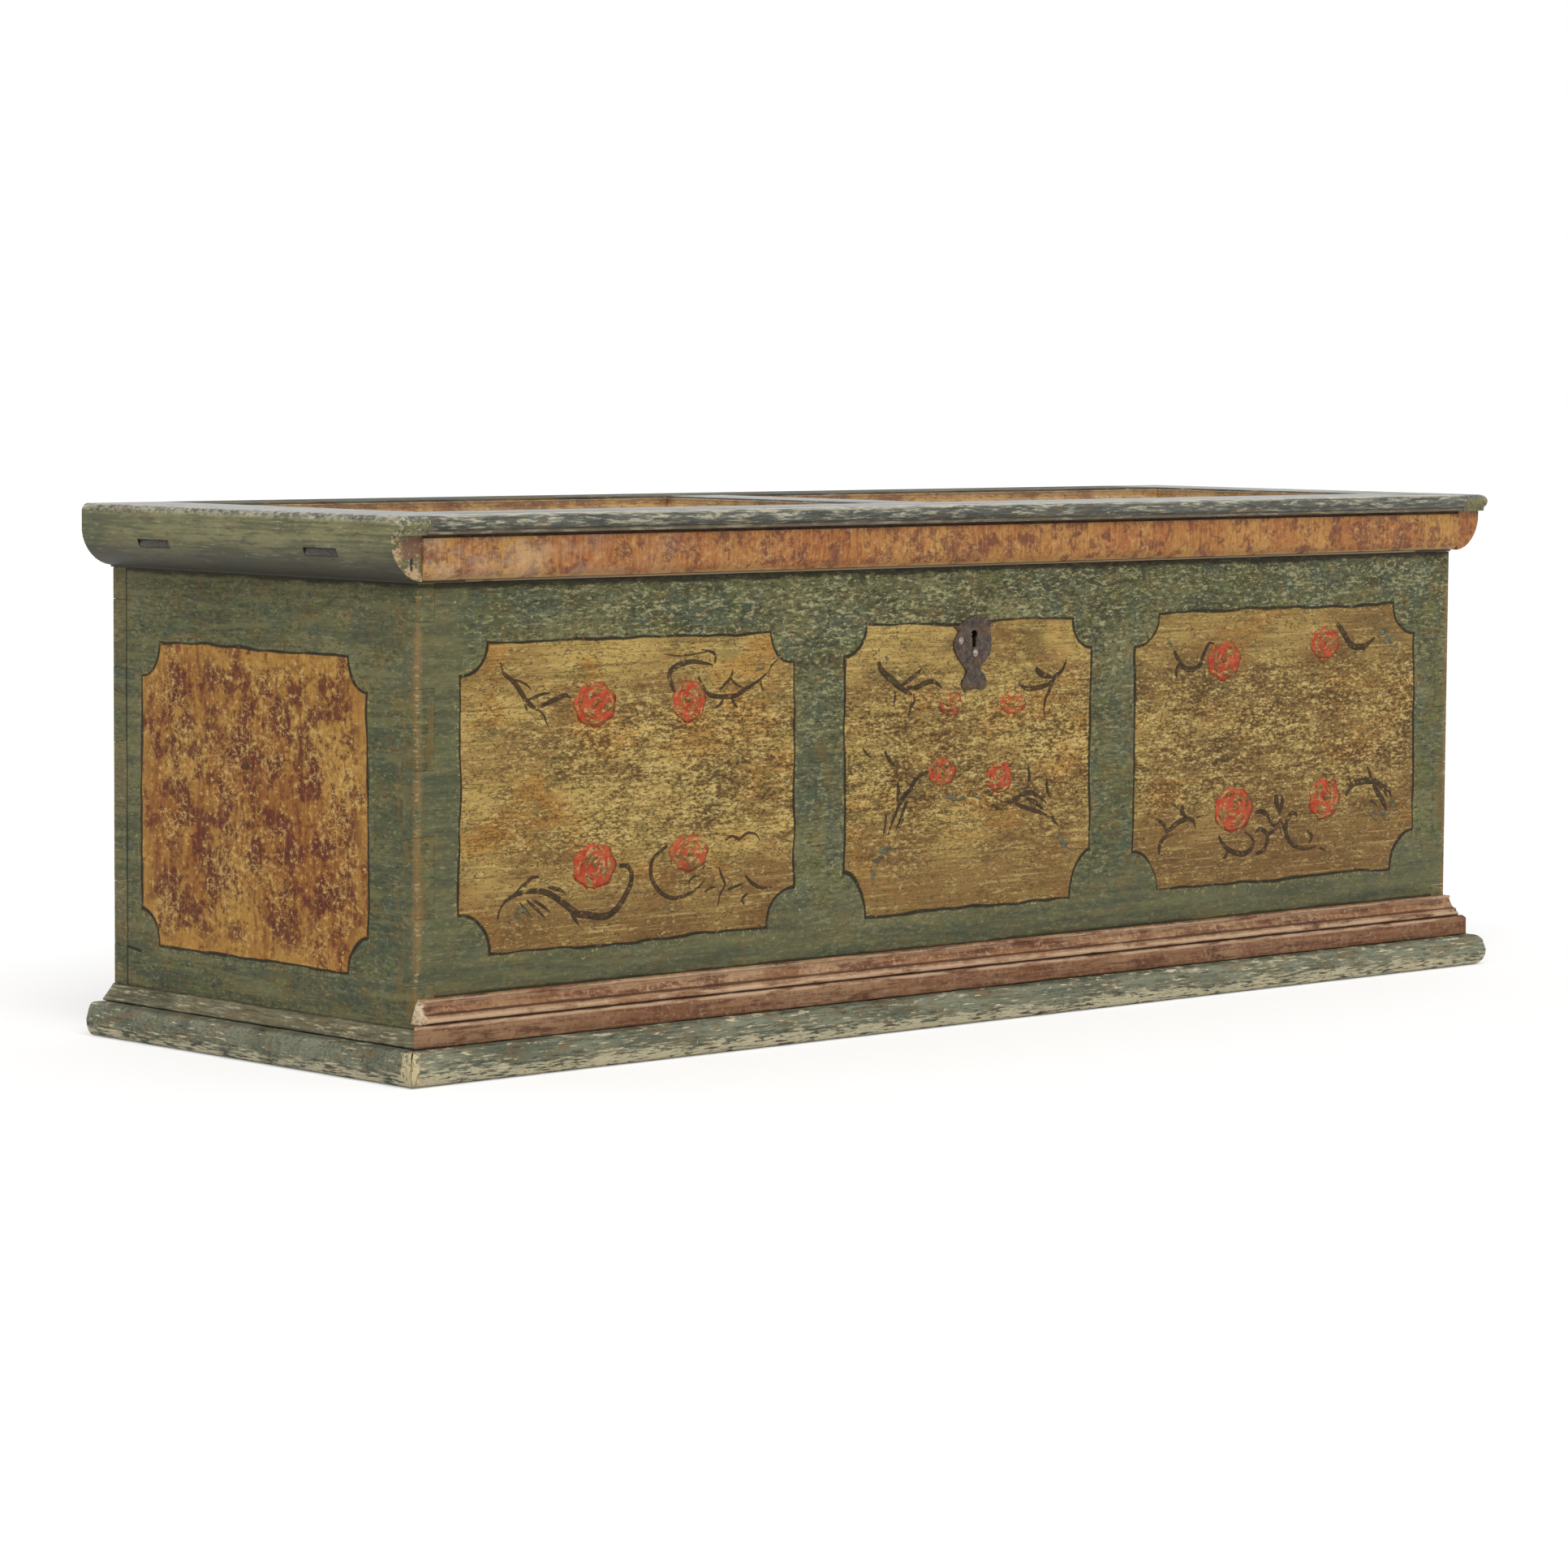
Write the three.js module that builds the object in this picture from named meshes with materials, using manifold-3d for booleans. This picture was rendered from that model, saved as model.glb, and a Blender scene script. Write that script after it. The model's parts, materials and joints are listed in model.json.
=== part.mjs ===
// A painted coffer chest: a dovetailed box on a moulded base, with a heavy framed lid that turns on
// two strap hinges at the back and a chest lock whose bolt shoots through a staple under the lid.
// Millimetres. +X runs along the front to the viewer's right, +Y goes to the back, +Z is up.
// The origin is on the floor, under the middle of the outermost length and depth.

import * as THREE from 'three';
import { mergeVertices } from 'three/addons/utils/BufferGeometryUtils.js';
import Module from 'manifold-3d';

const wasm = await Module();
wasm.setup();

// Clearances and cutting
const fitGap = 0.3; // between pieces that touch
const overrun = 1; // how far a cutter runs past the face it cuts

// Body
const bodyLength = 1700;
const bodyDepth = 544;
const rimHeight = 532;
const boardThickness = 24;
const bottomThickness = 22;
const backRailHeight = 36;
const bottomBoardCount = 3;

// Dovetailed corners
const dovetailPitch = 158;
const tailRootWidth = 79;
const tailFlare = 4;
const topTailHeight = 37;

// Base and plinth mouldings
const baseHeight = 39;
const baseProjection = 40;
const baseNoseReach = 11;
const fasciaHeight = 24.7;
const fasciaProjection = 21.5;
const sideMouldHeight = 18.7;
const sideMouldProjection = 17;
const sideMouldTopReach = 2.5;
const bandHeight = 25.7;
const bandTopProjection = 9;
const bandProjection = 19.5;
const bandBeadHeight = 6;
const bandEndReach = 9; // how far the band's foot runs past the body's ends

// Lid frame
const lidThickness = 72.5;
const sideOverhang = 43;
const sideOvoloRadius = 40;
const sideOvoloFullness = 0.85; // 1 is a full quarter round, 0 a plain chamfer
const lidEdgeRadius = 9;
const stileWidth = 112;
const frontRailWidth = 82;
const backRailWidth = 100;
const mullionWidth = 90;
const mullionOffset = -52;
const mullionHeight = 60;
const hornWidth = 40;
const hornReach = 12;
const nosingThickness = 21;
const nosingProjection = 27;
const nosingFilletHeight = 4.5; // the narrow flat strip under the nosing's round
const nosingFilletSetback = 6;
const frontMouldProjection = 15;
const frontOvoloHeight = 17;
const frontOvoloReach = 13;
const frontGrooveHeight = 3; // the shadow line under the nosing
const frontGrooveDepth = 5;
const mouldLift = 2; // from the lid's underside up to the front moulding

// Lid joints and panels
const recessDepth = 16;
const panelThickness = 30;
const tongueThickness = 8;
const tongueLength = 10;
const throughTenonWidth = 56;
const throughTenonInset = 4;
const throughTenonRecess = 4;
const railTenonLength = 45;
const railTenonThickness = 20;
const railTenonShoulder = 16;
const mullionTenonLength = 30;
const tenonTopCover = 12;

// Bead around each sunk panel
const beadWidth = 9;
const beadHeight = 13.5;

// Keyhole plate
const lockOffset = -15;
const keyholeDrop = 79.5; // from the rim down to the keyhole's round end
const keyholeRadius = 5.3;
const keySlotWidth = 6.5;
const keySlotLength = 15;
const boardKeyholeMargin = 1.2;
const plateThickness = 2.2;
const plateHalfWidth = 31.3;
const plateRise = 22;
const plateFall = 66;

// Lock
const lockCaseWidth = 120;
const lockCaseHeight = 108;
const lockCaseDepth = 20;
const lockCaseDrop = 10;
const lockSheet = 2;
const lockLugWidth = 18;
const lockLugHeight = 40;
const boltLength = 74;
const boltHeight = 12;
const boltThickness = 5;
const boltSetback = 7;
const boltDrop = 21;
const boltTravel = 16;
const boltLead = 25;
const talonWidth = 20;
const talonDrop = 33;
const talonNotchWidth = 8;
const talonNotchDepth = 10;
const bridgeWidth = 5;
const bridgeBar = 3;
const bridgeSetback = 1;
const bridgeSpacing = 48;
const springThickness = 1.2;
const springWidth = 5;
const drillPinRadius = 2.4;
const drillPinFlange = 5;
const drillPinSetback = 2;

// Lid staple
const stapleOffset = 32;
const stapleThickness = 5;
const stapleDepth = 12;
const stapleDrop = 38;
const stapleSetback = 3.5;
const stapleSlack = 1.5;
const stapleEyeSlack = 1;
const staplePlateLength = 70;
const staplePlateThickness = 3;

// Hinges
const hingeInset = 290; // from each end of the body to the middle of its hinge
const knuckleRadius = 6;
const hingePinRadius = 3;
const hingePinClearance = 0.1;
const hingePinHeadRadius = 4.8;
const hingePinHeadThickness = 2;
const knuckleWidth = 14;
const leafWidth = 40;
const leafLength = 110;
const leafTipWidth = 22;
const hingeIron = 3;
const strapLength = 85;
const strapWidth = 28;
const strapTipWidth = 16;
const strapNeck = 10;

// Wrought nails
const nailHeadRadius = 4.5;
const nailHeadRise = 1.6;
const nailShankRadius = 1.5;
const nailLength = 17;
const nailClearance = 0.2;

// Facets
const arcSteps = 8;
const roundSides = 16;
const nailSides = 8;

// Derived places
const hingeReach = 2 * knuckleRadius + fitGap;
const mitreSlack = fitGap * Math.SQRT1_2;
const frontFace = -bodyDepth / 2 + (baseProjection - hingeReach) / 2;
const backFace = frontFace + bodyDepth;
const frontInner = frontFace + boardThickness;
const backInner = backFace - boardThickness;
const halfLength = bodyLength / 2;
const innerHalfLength = halfLength - boardThickness;
const hingeSpread = halfLength - hingeInset;
const wallFoot = bottomThickness + fitGap;
const backBoardTop = rimHeight - backRailHeight - fitGap;
const fasciaFoot = baseHeight + fitGap;
const bandFoot = fasciaFoot + fasciaHeight + fitGap;
const lidFoot = rimHeight + fitGap;
const lidTop = lidFoot + lidThickness;
const lidHalfLength = halfLength + sideOverhang;
const stileInner = lidHalfLength - stileWidth;
const hornInner = lidHalfLength - hornWidth;
const recessFront = frontFace + frontRailWidth;
const recessBack = backFace - backRailWidth;
const mullionLeft = mullionOffset - mullionWidth / 2;
const mullionRight = mullionOffset + mullionWidth / 2;
const nosingFoot = lidTop - nosingThickness;
const panelTop = lidTop - recessDepth;
const panelFoot = panelTop - panelThickness;
const tongueTop = panelFoot + tongueThickness;
const railTenonTop = lidTop - tenonTopCover;
const railTenonFoot = railTenonTop - railTenonThickness;
const keyholeZ = rimHeight - keyholeDrop;
const caseTop = rimHeight - lockCaseDrop;
const caseFoot = caseTop - lockCaseHeight;
const caseBack = frontInner + lockCaseDepth;
const caseFloor = caseBack - lockSheet;
const boltFront = frontInner + boltSetback;
const boltBack = boltFront + boltThickness;
const boltTop = rimHeight - boltDrop;
const boltFoot = boltTop - boltHeight;
const boltTip = lockOffset + boltLead;
const stapleX = lockOffset + stapleOffset;
const stapleFront = frontInner + stapleSetback;
const stapleBack = stapleFront + stapleDepth;
const pivotY = backFace + fitGap + knuckleRadius;
const pivotZ = lidFoot;

// Solids from three.js geometries

function toSolid(geometry) {
  const plain = geometry.clone();
  plain.deleteAttribute('normal');
  plain.deleteAttribute('uv');
  const merged = mergeVertices(plain);
  const mesh = new wasm.Mesh({
    numProp: 3,
    vertProperties: Float32Array.from(merged.attributes.position.array),
    triVerts: Uint32Array.from(merged.index.array),
  });
  return new wasm.Manifold(mesh);
}

function toGeometry(solid) {
  const mesh = solid.getMesh();
  const indexed = new THREE.BufferGeometry();
  indexed.setAttribute('position', new THREE.BufferAttribute(Float32Array.from(mesh.vertProperties), 3));
  indexed.setIndex(Array.from(mesh.triVerts));
  const flat = indexed.toNonIndexed();
  flat.computeVertexNormals();
  return flat;
}

function joined(first, ...others) {
  return toGeometry(others.reduce((sum, next) => sum.add(toSolid(next)), toSolid(first)));
}

function cut(body, ...tools) {
  return toGeometry(tools.reduce((rest, tool) => rest.subtract(toSolid(tool)), toSolid(body)));
}

function common(first, second) {
  return toGeometry(toSolid(first).intersect(toSolid(second)));
}

function block([x0, x1], [y0, y1], [z0, z1]) {
  const geometry = new THREE.BoxGeometry(x1 - x0, y1 - y0, z1 - z0);
  return geometry.translate((x0 + x1) / 2, (y0 + y1) / 2, (z0 + z1) / 2);
}

const widened = ([low, high], gap = fitGap) => [low - gap, high + gap];

const axisX = new THREE.Vector3(1, 0, 0);
const axisY = new THREE.Vector3(0, 1, 0);
const axisZ = new THREE.Vector3(0, 0, 1);

function sweep(outline, [from, to], uAxis, vAxis, sweepAxis) {
  const points = Array.isArray(outline) && outline.map(([u, v]) => new THREE.Vector2(u, v));
  const shape = points ? new THREE.Shape(points) : outline;
  const settings = { depth: to - from, bevelEnabled: false, curveSegments: arcSteps };
  const geometry = new THREE.ExtrudeGeometry(shape, settings).translate(0, 0, from);
  return geometry.applyMatrix4(new THREE.Matrix4().makeBasis(uAxis, vAxis, sweepAxis));
}

// An outline of [y, z] points swept along X, of [x, y] points along Z, and of [x, z] points along Y
const sweepX = (outline, span) => sweep(outline, span, axisY, axisZ, axisX);
const sweepZ = (outline, span) => sweep(outline, span, axisX, axisY, axisZ);
const sweepY = (outline, [from, to]) => sweep(outline, [-to, -from], axisX, axisZ, axisY.clone().negate());

// The same solid on the other side of the chest's middle
function mirrored(geometry) {
  const flipped = geometry.index ? geometry.toNonIndexed() : geometry.clone();
  const place = flipped.attributes.position;
  const corner = new THREE.Vector3();
  const other = new THREE.Vector3();
  for (let i = 0; i < place.count; i += 3) {
    corner.fromBufferAttribute(place, i + 1);
    other.fromBufferAttribute(place, i + 2);
    place.setXYZ(i + 1, other.x, other.y, other.z);
    place.setXYZ(i + 2, corner.x, corner.y, corner.z);
  }
  flipped.applyMatrix4(new THREE.Matrix4().makeScale(-1, 1, 1));
  flipped.computeVertexNormals();
  return flipped;
}

// Points on an arc of an ellipse, angles in quarter turns
function arc(centreU, centreV, radiusU, radiusV, fromQuarter, toQuarter, steps = arcSteps) {
  const points = [];
  for (let i = 0; i <= steps; i += 1) {
    const angle = (fromQuarter + ((toQuarter - fromQuarter) * i) / steps) * (Math.PI / 2);
    points.push([centreU + radiusU * Math.cos(angle), centreV + radiusV * Math.sin(angle)]);
  }
  return points;
}

// The same arc drawn in towards the straight line between its ends
function flatter(points, fullness) {
  const [startU, startV] = points[0];
  const [endU, endV] = points[points.length - 1];
  return points.map(([u, v], i) => {
    const share = i / (points.length - 1);
    const chordU = startU + (endU - startU) * share;
    const chordV = startV + (endV - startV) * share;
    return [chordU + (u - chordU) * fullness, chordV + (v - chordV) * fullness];
  });
}

// A moulding: the profile's [reach, height] points at both ends, each end placed by its own function
function moulding(profile, startPlace, endPlace) {
  const rings = [startPlace, endPlace].map((place) => profile.map(([reach, height]) => place(reach, height)));
  const count = profile.length;
  const flat = profile.map(([u, v]) => new THREE.Vector2(u, v));
  const triangles = [];
  for (let i = 0; i < count; i += 1) {
    const next = (i + 1) % count;
    triangles.push([rings[0][i], rings[0][next], rings[1][next]], [rings[0][i], rings[1][next], rings[1][i]]);
  }
  const turn = THREE.ShapeUtils.isClockWise(flat) ? -1 : 1;
  for (const [a, b, c] of THREE.ShapeUtils.triangulateShape(flat, [])) {
    const [p, q] = turn > 0 ? [b, c] : [c, b];
    triangles.push([rings[0][a], rings[0][q], rings[0][p]], [rings[1][a], rings[1][p], rings[1][q]]);
  }
  const volume = triangles.reduce((sum, [a, b, c]) => sum + a.dot(new THREE.Vector3().crossVectors(b, c)), 0);
  const outward = triangles.map(([a, b, c]) => (volume > 0 ? [a, b, c] : [a, c, b]));
  const geometry = new THREE.BufferGeometry().setFromPoints(outward.flat());
  geometry.computeVertexNormals();
  return geometry;
}

const at = (x, y, z) => new THREE.Vector3(x, y, z);

// Wrought nails: a domed head on a pointed round shank

function nail() {
  const head = [[0, nailHeadRise], [nailHeadRadius * 0.55, nailHeadRise * 0.8], [nailHeadRadius, 0]];
  const shank = [[nailShankRadius, 0], [nailShankRadius, -nailLength * 0.7], [0, -nailLength]];
  const outline = [...shank.reverse(), ...head.reverse()].map(([r, h]) => new THREE.Vector2(r, h));
  return new THREE.LatheGeometry(outline, nailSides);
}

function nailHole() {
  const radius = nailShankRadius + nailClearance;
  return new THREE.CylinderGeometry(radius, radius, 2 * nailLength + 2 * fitGap, nailSides);
}

// Nails are made standing head up along Y; each is turned so that its head looks along facing
function placed(geometry, facing, [x, y, z]) {
  const turn = new THREE.Quaternion().setFromUnitVectors(axisY, facing);
  return geometry.applyQuaternion(turn).translate(x, y, z);
}

const facingFront = at(0, -1, 0);
const facingBack = at(0, 1, 0);
const facingDown = at(0, 0, -1);

const escutcheonNailShares = [[-0.71, -0.1], [0.06, -0.33]];

const escutcheonNails = escutcheonNailShares.map(([u, v]) => [
  lockOffset + u * plateHalfWidth,
  frontFace - plateThickness - 2 * fitGap,
  keyholeZ + v * plateFall,
]);

const lockLugX = lockCaseWidth / 2 + lockLugWidth / 2;
const lockLugZ = (caseTop + caseFoot) / 2;
const lockNails = [-1, 1].map((side) => [
  lockOffset + side * lockLugX,
  frontInner + lockSheet + 2 * fitGap,
  lockLugZ,
]);

const leafNails = [-1, 1].flatMap((side) => [0.18, 0.6].map((share) => [
  side * hingeSpread,
  backFace + hingeIron + 2 * fitGap,
  pivotZ - share * leafLength,
]));

const strapNails = [-1, 1].flatMap((side) => [0.42, 0.82].map((share) => [
  side * hingeSpread,
  backFace - share * strapLength,
  lidFoot - fitGap,
]));

const stapleNails = [-1, 1].map((side) => [
  stapleX + side * staplePlateLength * 0.36,
  (stapleFront + stapleBack) / 2,
  lidFoot - staplePlateThickness - 2 * fitGap,
]);

// Dovetailed carcass

function tailSpans(topTail) {
  const spans = [];
  const firstCentre = rimHeight - topTailHeight + tailRootWidth / 2;
  for (let centre = firstCentre; centre + tailRootWidth / 2 > wallFoot; centre -= dovetailPitch) {
    if (topTail || centre < firstCentre) spans.push(centre);
  }
  return spans.reverse();
}

const heldInWall = (z) => Math.min(Math.max(z, wallFoot), rimHeight);

// One edge of an end board, from the floor up: root and tip are the y of the tails' roots and tips
function tailEdge(centres, root, tip) {
  const half = tailRootWidth / 2;
  return centres.flatMap((centre) => [
    [root, heldInWall(centre - half)],
    [tip, heldInWall(centre - half - tailFlare)],
    [tip, heldInWall(centre + half + tailFlare)],
    [root, heldInWall(centre + half)],
  ]);
}

function endBoardOutline() {
  const frontRoot = frontInner + fitGap;
  const backRoot = backInner - fitGap;
  const front = [
    [frontRoot, wallFoot],
    ...tailEdge(tailSpans(true), frontRoot, frontFace),
    [frontRoot, rimHeight],
  ];
  const back = [
    [backRoot, wallFoot],
    ...tailEdge(tailSpans(false), backRoot, backFace),
    [backRoot, rimHeight],
  ];
  const outline = [...front, ...back.reverse()];
  return outline.filter(([y, z], i) => {
    const [previousY, previousZ] = outline[(i + outline.length - 1) % outline.length];
    return Math.hypot(y - previousY, z - previousZ) > 0;
  });
}

function endBoard() {
  return sweepX(endBoardOutline(), [-halfLength, -innerHalfLength]);
}

// The sockets that a long board has for the end boards' tails
function tailSockets(centres, root, tip) {
  const inward = Math.sign(root - tip);
  const slope = tailFlare / boardThickness;
  const half = tailRootWidth / 2 + fitGap;
  const rootPast = root + inward * overrun;
  const tipPast = tip - inward * overrun;
  const rootHalf = half - slope * overrun;
  const tipHalf = half + tailFlare + slope * overrun;
  const span = [innerHalfLength - fitGap, halfLength + overrun];
  return centres.flatMap((centre) => {
    const outline = [
      [rootPast, centre - rootHalf],
      [tipPast, centre - tipHalf],
      [tipPast, centre + tipHalf],
      [rootPast, centre + rootHalf],
    ];
    const socket = sweepX(outline, span);
    return [socket, mirrored(socket)];
  });
}

function keyholeOutline(margin) {
  const shape = new THREE.Shape();
  const radius = keyholeRadius + margin;
  const half = keySlotWidth / 2 + margin;
  const start = Math.asin(half / radius);
  shape.moveTo(lockOffset - half, keyholeZ - keySlotLength - margin);
  shape.lineTo(lockOffset + half, keyholeZ - keySlotLength - margin);
  shape.absarc(lockOffset, keyholeZ, radius, -Math.PI / 2 + start, -Math.PI / 2 - start + 2 * Math.PI, false);
  return shape;
}

function frontBoard() {
  const board = block([-halfLength, halfLength], [frontFace, frontInner], [wallFoot, rimHeight]);
  const keyhole = sweepY(keyholeOutline(boardKeyholeMargin), [frontFace - overrun, frontInner + overrun]);
  const holes = [
    ...escutcheonNails.map((place) => placed(nailHole(), facingFront, place)),
    ...lockNails.map((place) => placed(nailHole(), facingBack, place)),
  ];
  return cut(board, ...tailSockets(tailSpans(true), frontInner, frontFace), keyhole, ...holes);
}

function backBoard() {
  const board = block([-halfLength, halfLength], [backInner, backFace], [wallFoot, backBoardTop]);
  const holes = leafNails.map((place) => placed(nailHole(), facingBack, place));
  return cut(board, ...tailSockets(tailSpans(false), backInner, backFace), ...holes);
}

function backTopRail() {
  const rail = block([-halfLength, halfLength], [backInner, backFace], [backBoardTop + fitGap, rimHeight]);
  const holes = leafNails.map((place) => placed(nailHole(), facingBack, place));
  return cut(rail, ...holes);
}

function bottomBoard(index) {
  const width = bodyDepth / bottomBoardCount;
  const front = frontFace + index * width;
  return block([-halfLength, halfLength], [front, front + width - fitGap], [0, bottomThickness]);
}

// Base and plinth mouldings; profiles are [reach from the wall, height from the floor]

const baseProfile = [
  [fitGap, 0],
  ...arc(baseProjection - baseNoseReach, baseHeight / 2, baseNoseReach, baseHeight / 2, -1, 1),
  [fitGap, baseHeight],
];

const fasciaProfile = [
  [fitGap, fasciaFoot],
  [fasciaProjection, fasciaFoot],
  [fasciaProjection, fasciaFoot + fasciaHeight * 0.85],
  [fasciaProjection - fasciaHeight * 0.15, fasciaFoot + fasciaHeight],
  [fitGap, fasciaFoot + fasciaHeight],
];

const sideMouldProfile = [
  [fitGap, fasciaFoot],
  [sideMouldProjection, fasciaFoot],
  [sideMouldProjection, fasciaFoot + sideMouldHeight * 0.12],
  [sideMouldTopReach, fasciaFoot + sideMouldHeight],
  [fitGap, fasciaFoot + sideMouldHeight],
];

// Mitred at both ends, outside the corners of the body
function frontMitred(profile) {
  const start = (reach, height) => at(-halfLength - reach + mitreSlack, frontFace - reach, height);
  const end = (reach, height) => at(halfLength + reach - mitreSlack, frontFace - reach, height);
  return moulding(profile, start, end);
}

function sideMitred(profile) {
  const start = (reach, height) => at(-halfLength - reach, frontFace - reach + mitreSlack, height);
  const end = (reach, height) => at(-halfLength - reach, backFace, height);
  return moulding(profile, start, end);
}

// The band's hollow and beads, from the foot up, as [reach, height] above the band's foot
function bandEdge() {
  const beadReach = bandProjection - bandBeadHeight / 3;
  const beadRound = bandBeadHeight / 2;
  const hollowFoot = bandBeadHeight * 1.6;
  const hollowRadiusU = beadReach - bandBeadHeight / 3 - bandTopProjection;
  const hollowRadiusV = bandHeight * 0.88 - hollowFoot;
  const hollow = arc(beadReach - bandBeadHeight / 3, bandHeight * 0.88, hollowRadiusU, hollowRadiusV, -1, -2);
  return [
    [bandProjection - bandBeadHeight / 3, 0],
    ...arc(bandProjection - beadRound, beadRound, beadRound, beadRound, -0.6, 0.8, 4),
    [beadReach, bandBeadHeight * 1.1],
    [beadReach, hollowFoot],
    ...hollow,
    [bandTopProjection + bandBeadHeight / 3, bandHeight * 0.88],
    [bandTopProjection + bandBeadHeight / 3, bandHeight],
  ];
}

function frontBand() {
  const face = bandEdge().map(([reach, height]) => [frontFace - reach, bandFoot + height]);
  const back = frontFace - fitGap;
  const top = bandFoot + bandHeight;
  const footHalf = halfLength + bandEndReach;
  const run = sweepX([...face, [back, top], [back, bandFoot]], [-footHalf, footHalf]);
  const slopedEnds = [[-footHalf, bandFoot], [footHalf, bandFoot], [halfLength, top], [-halfLength, top]];
  return common(run, sweepY(slopedEnds, [frontFace - bandProjection - overrun, frontFace]));
}

// Keyhole plate: its outline round the keyhole's centre, in shares of the half width and of the rise and fall
const plateShares = [
  [0.2, 1], [0.5, 0.82], [0.72, 0.7], [0.9, 0.64], [0.8, 0.33], [0.91, -0.1], [0.82, -0.38], [0.44, -0.54],
  [0.35, -0.62], [0.57, -0.73], [0.68, -0.87], [0.5, -0.99], [0.05, -0.95], [-0.45, -0.99], [-0.65, -0.87],
  [-0.45, -0.72], [-0.36, -0.66], [-0.71, -0.47], [-1.03, -0.27], [-1.05, -0.1], [-0.8, 0.19],
  [-1.06, 0.46], [-0.9, 0.44], [-0.71, 0.6], [-0.39, 0.82],
];

function plateOutline() {
  const knots = plateShares.map(([u, v]) => new THREE.Vector3(
    lockOffset + u * plateHalfWidth,
    keyholeZ + v * (v > 0 ? plateRise : plateFall),
    0,
  ));
  const curve = new THREE.CatmullRomCurve3(knots, true, 'centripetal');
  return curve.getPoints(2 * knots.length).slice(1).map(({ x, y }) => [x, y]);
}

function escutcheon() {
  const plate = sweepY(plateOutline(), [frontFace - fitGap - plateThickness, frontFace - fitGap]);
  const keyhole = sweepY(keyholeOutline(0), [frontFace - plateThickness - overrun, frontFace]);
  return cut(plate, keyhole, ...escutcheonNails.map((place) => placed(nailHole(), facingFront, place)));
}

// Lock

const bridgeXs = [0, 1].map((i) => boltTip - bridgeSetback - bridgeWidth - i * bridgeSpacing);

// A block on the case's floor with a way through it for the bolt
function bridge(x) {
  const outer = [boltFoot - fitGap - bridgeBar, boltTop + fitGap + bridgeBar];
  const body = block([x, x + bridgeWidth], [boltFront - fitGap - bridgeBar, caseFloor + lockSheet / 2], outer);
  const way = block(
    [x - overrun, x + bridgeWidth + overrun],
    widened([boltFront, boltBack]),
    widened([boltFoot, boltTop]),
  );
  return cut(body, way);
}

function lockCase() {
  const left = lockOffset - lockCaseWidth / 2;
  const right = lockOffset + lockCaseWidth / 2;
  const tray = block([left, right], [frontInner + fitGap, caseBack], [caseFoot, caseTop]);
  const hollow = block(
    [left + lockSheet, right - lockSheet],
    [frontInner - overrun, caseFloor],
    [caseFoot + lockSheet, caseTop - lockSheet],
  );
  const lugs = block(
    [left - lockLugWidth, right + lockLugWidth],
    [frontInner + fitGap, frontInner + fitGap + lockSheet],
    [lockLugZ - lockLugHeight / 2, lockLugZ + lockLugHeight / 2],
  );
  const slot = block(
    [stapleX - stapleThickness / 2 - stapleSlack, stapleX + stapleThickness / 2 + stapleSlack],
    [stapleFront - 2 * stapleSlack, stapleBack + stapleSlack],
    [caseTop - lockSheet - overrun, caseTop + overrun],
  );
  const shell = cut(joined(tray, lugs), hollow, slot);
  const holes = lockNails.map((place) => placed(nailHole(), facingBack, place));
  return cut(joined(shell, ...bridgeXs.map(bridge)), ...holes);
}

function lockBolt() {
  const talonMiddle = lockOffset - boltTravel / 2;
  const talonRight = talonMiddle + talonWidth / 2;
  const talonLeft = talonMiddle - talonWidth / 2;
  const notchLeft = talonMiddle - talonNotchWidth / 2;
  const talonFoot = boltFoot - talonDrop;
  const outline = [
    [boltTip - boltLength, boltFoot],
    [talonLeft, boltFoot],
    [talonLeft, talonFoot],
    [notchLeft, talonFoot],
    [notchLeft, talonFoot + talonNotchDepth],
    [notchLeft + talonNotchWidth, talonFoot + talonNotchDepth],
    [notchLeft + talonNotchWidth, talonFoot],
    [talonRight, talonFoot],
    [talonRight, boltFoot],
    [boltTip - boltHeight / 4, boltFoot],
    [boltTip, boltFoot + boltHeight / 4],
    [boltTip, boltTop],
    [boltTip - boltLength, boltTop],
  ];
  return sweepY(outline, [boltFront, boltBack]);
}

// A bowed leaf between the bridges, from the case's ceiling down to the top of the bolt
function lockSpring() {
  const left = bridgeXs[1] + bridgeWidth + fitGap;
  const reach = bridgeSpacing - bridgeWidth - 2 * fitGap;
  const top = caseTop - lockSheet - fitGap;
  const rise = top - boltTop - fitGap;
  const outer = arc(left + reach, top, reach, rise, -2, -1);
  const inner = arc(left + reach, top, reach - springThickness, rise - springThickness, -2, -1);
  const middle = (boltFront + boltBack) / 2;
  return sweepY([...outer, ...inner.reverse()], [middle - springWidth / 2, middle + springWidth / 2]);
}

function drillPin() {
  const length = caseFloor - fitGap - frontFace - drillPinSetback;
  const outline = [
    [0, 0],
    [drillPinFlange, 0],
    [drillPinFlange, drillPinRadius * 0.8],
    [drillPinRadius, drillPinRadius * 1.2],
    [drillPinRadius, length - drillPinRadius / 2],
    [drillPinRadius / 2, length],
    [0, length],
  ].map(([r, h]) => new THREE.Vector2(r, h));
  const pin = new THREE.LatheGeometry(outline, roundSides);
  return placed(pin, facingFront, [lockOffset, caseFloor - fitGap, keyholeZ]);
}

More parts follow.
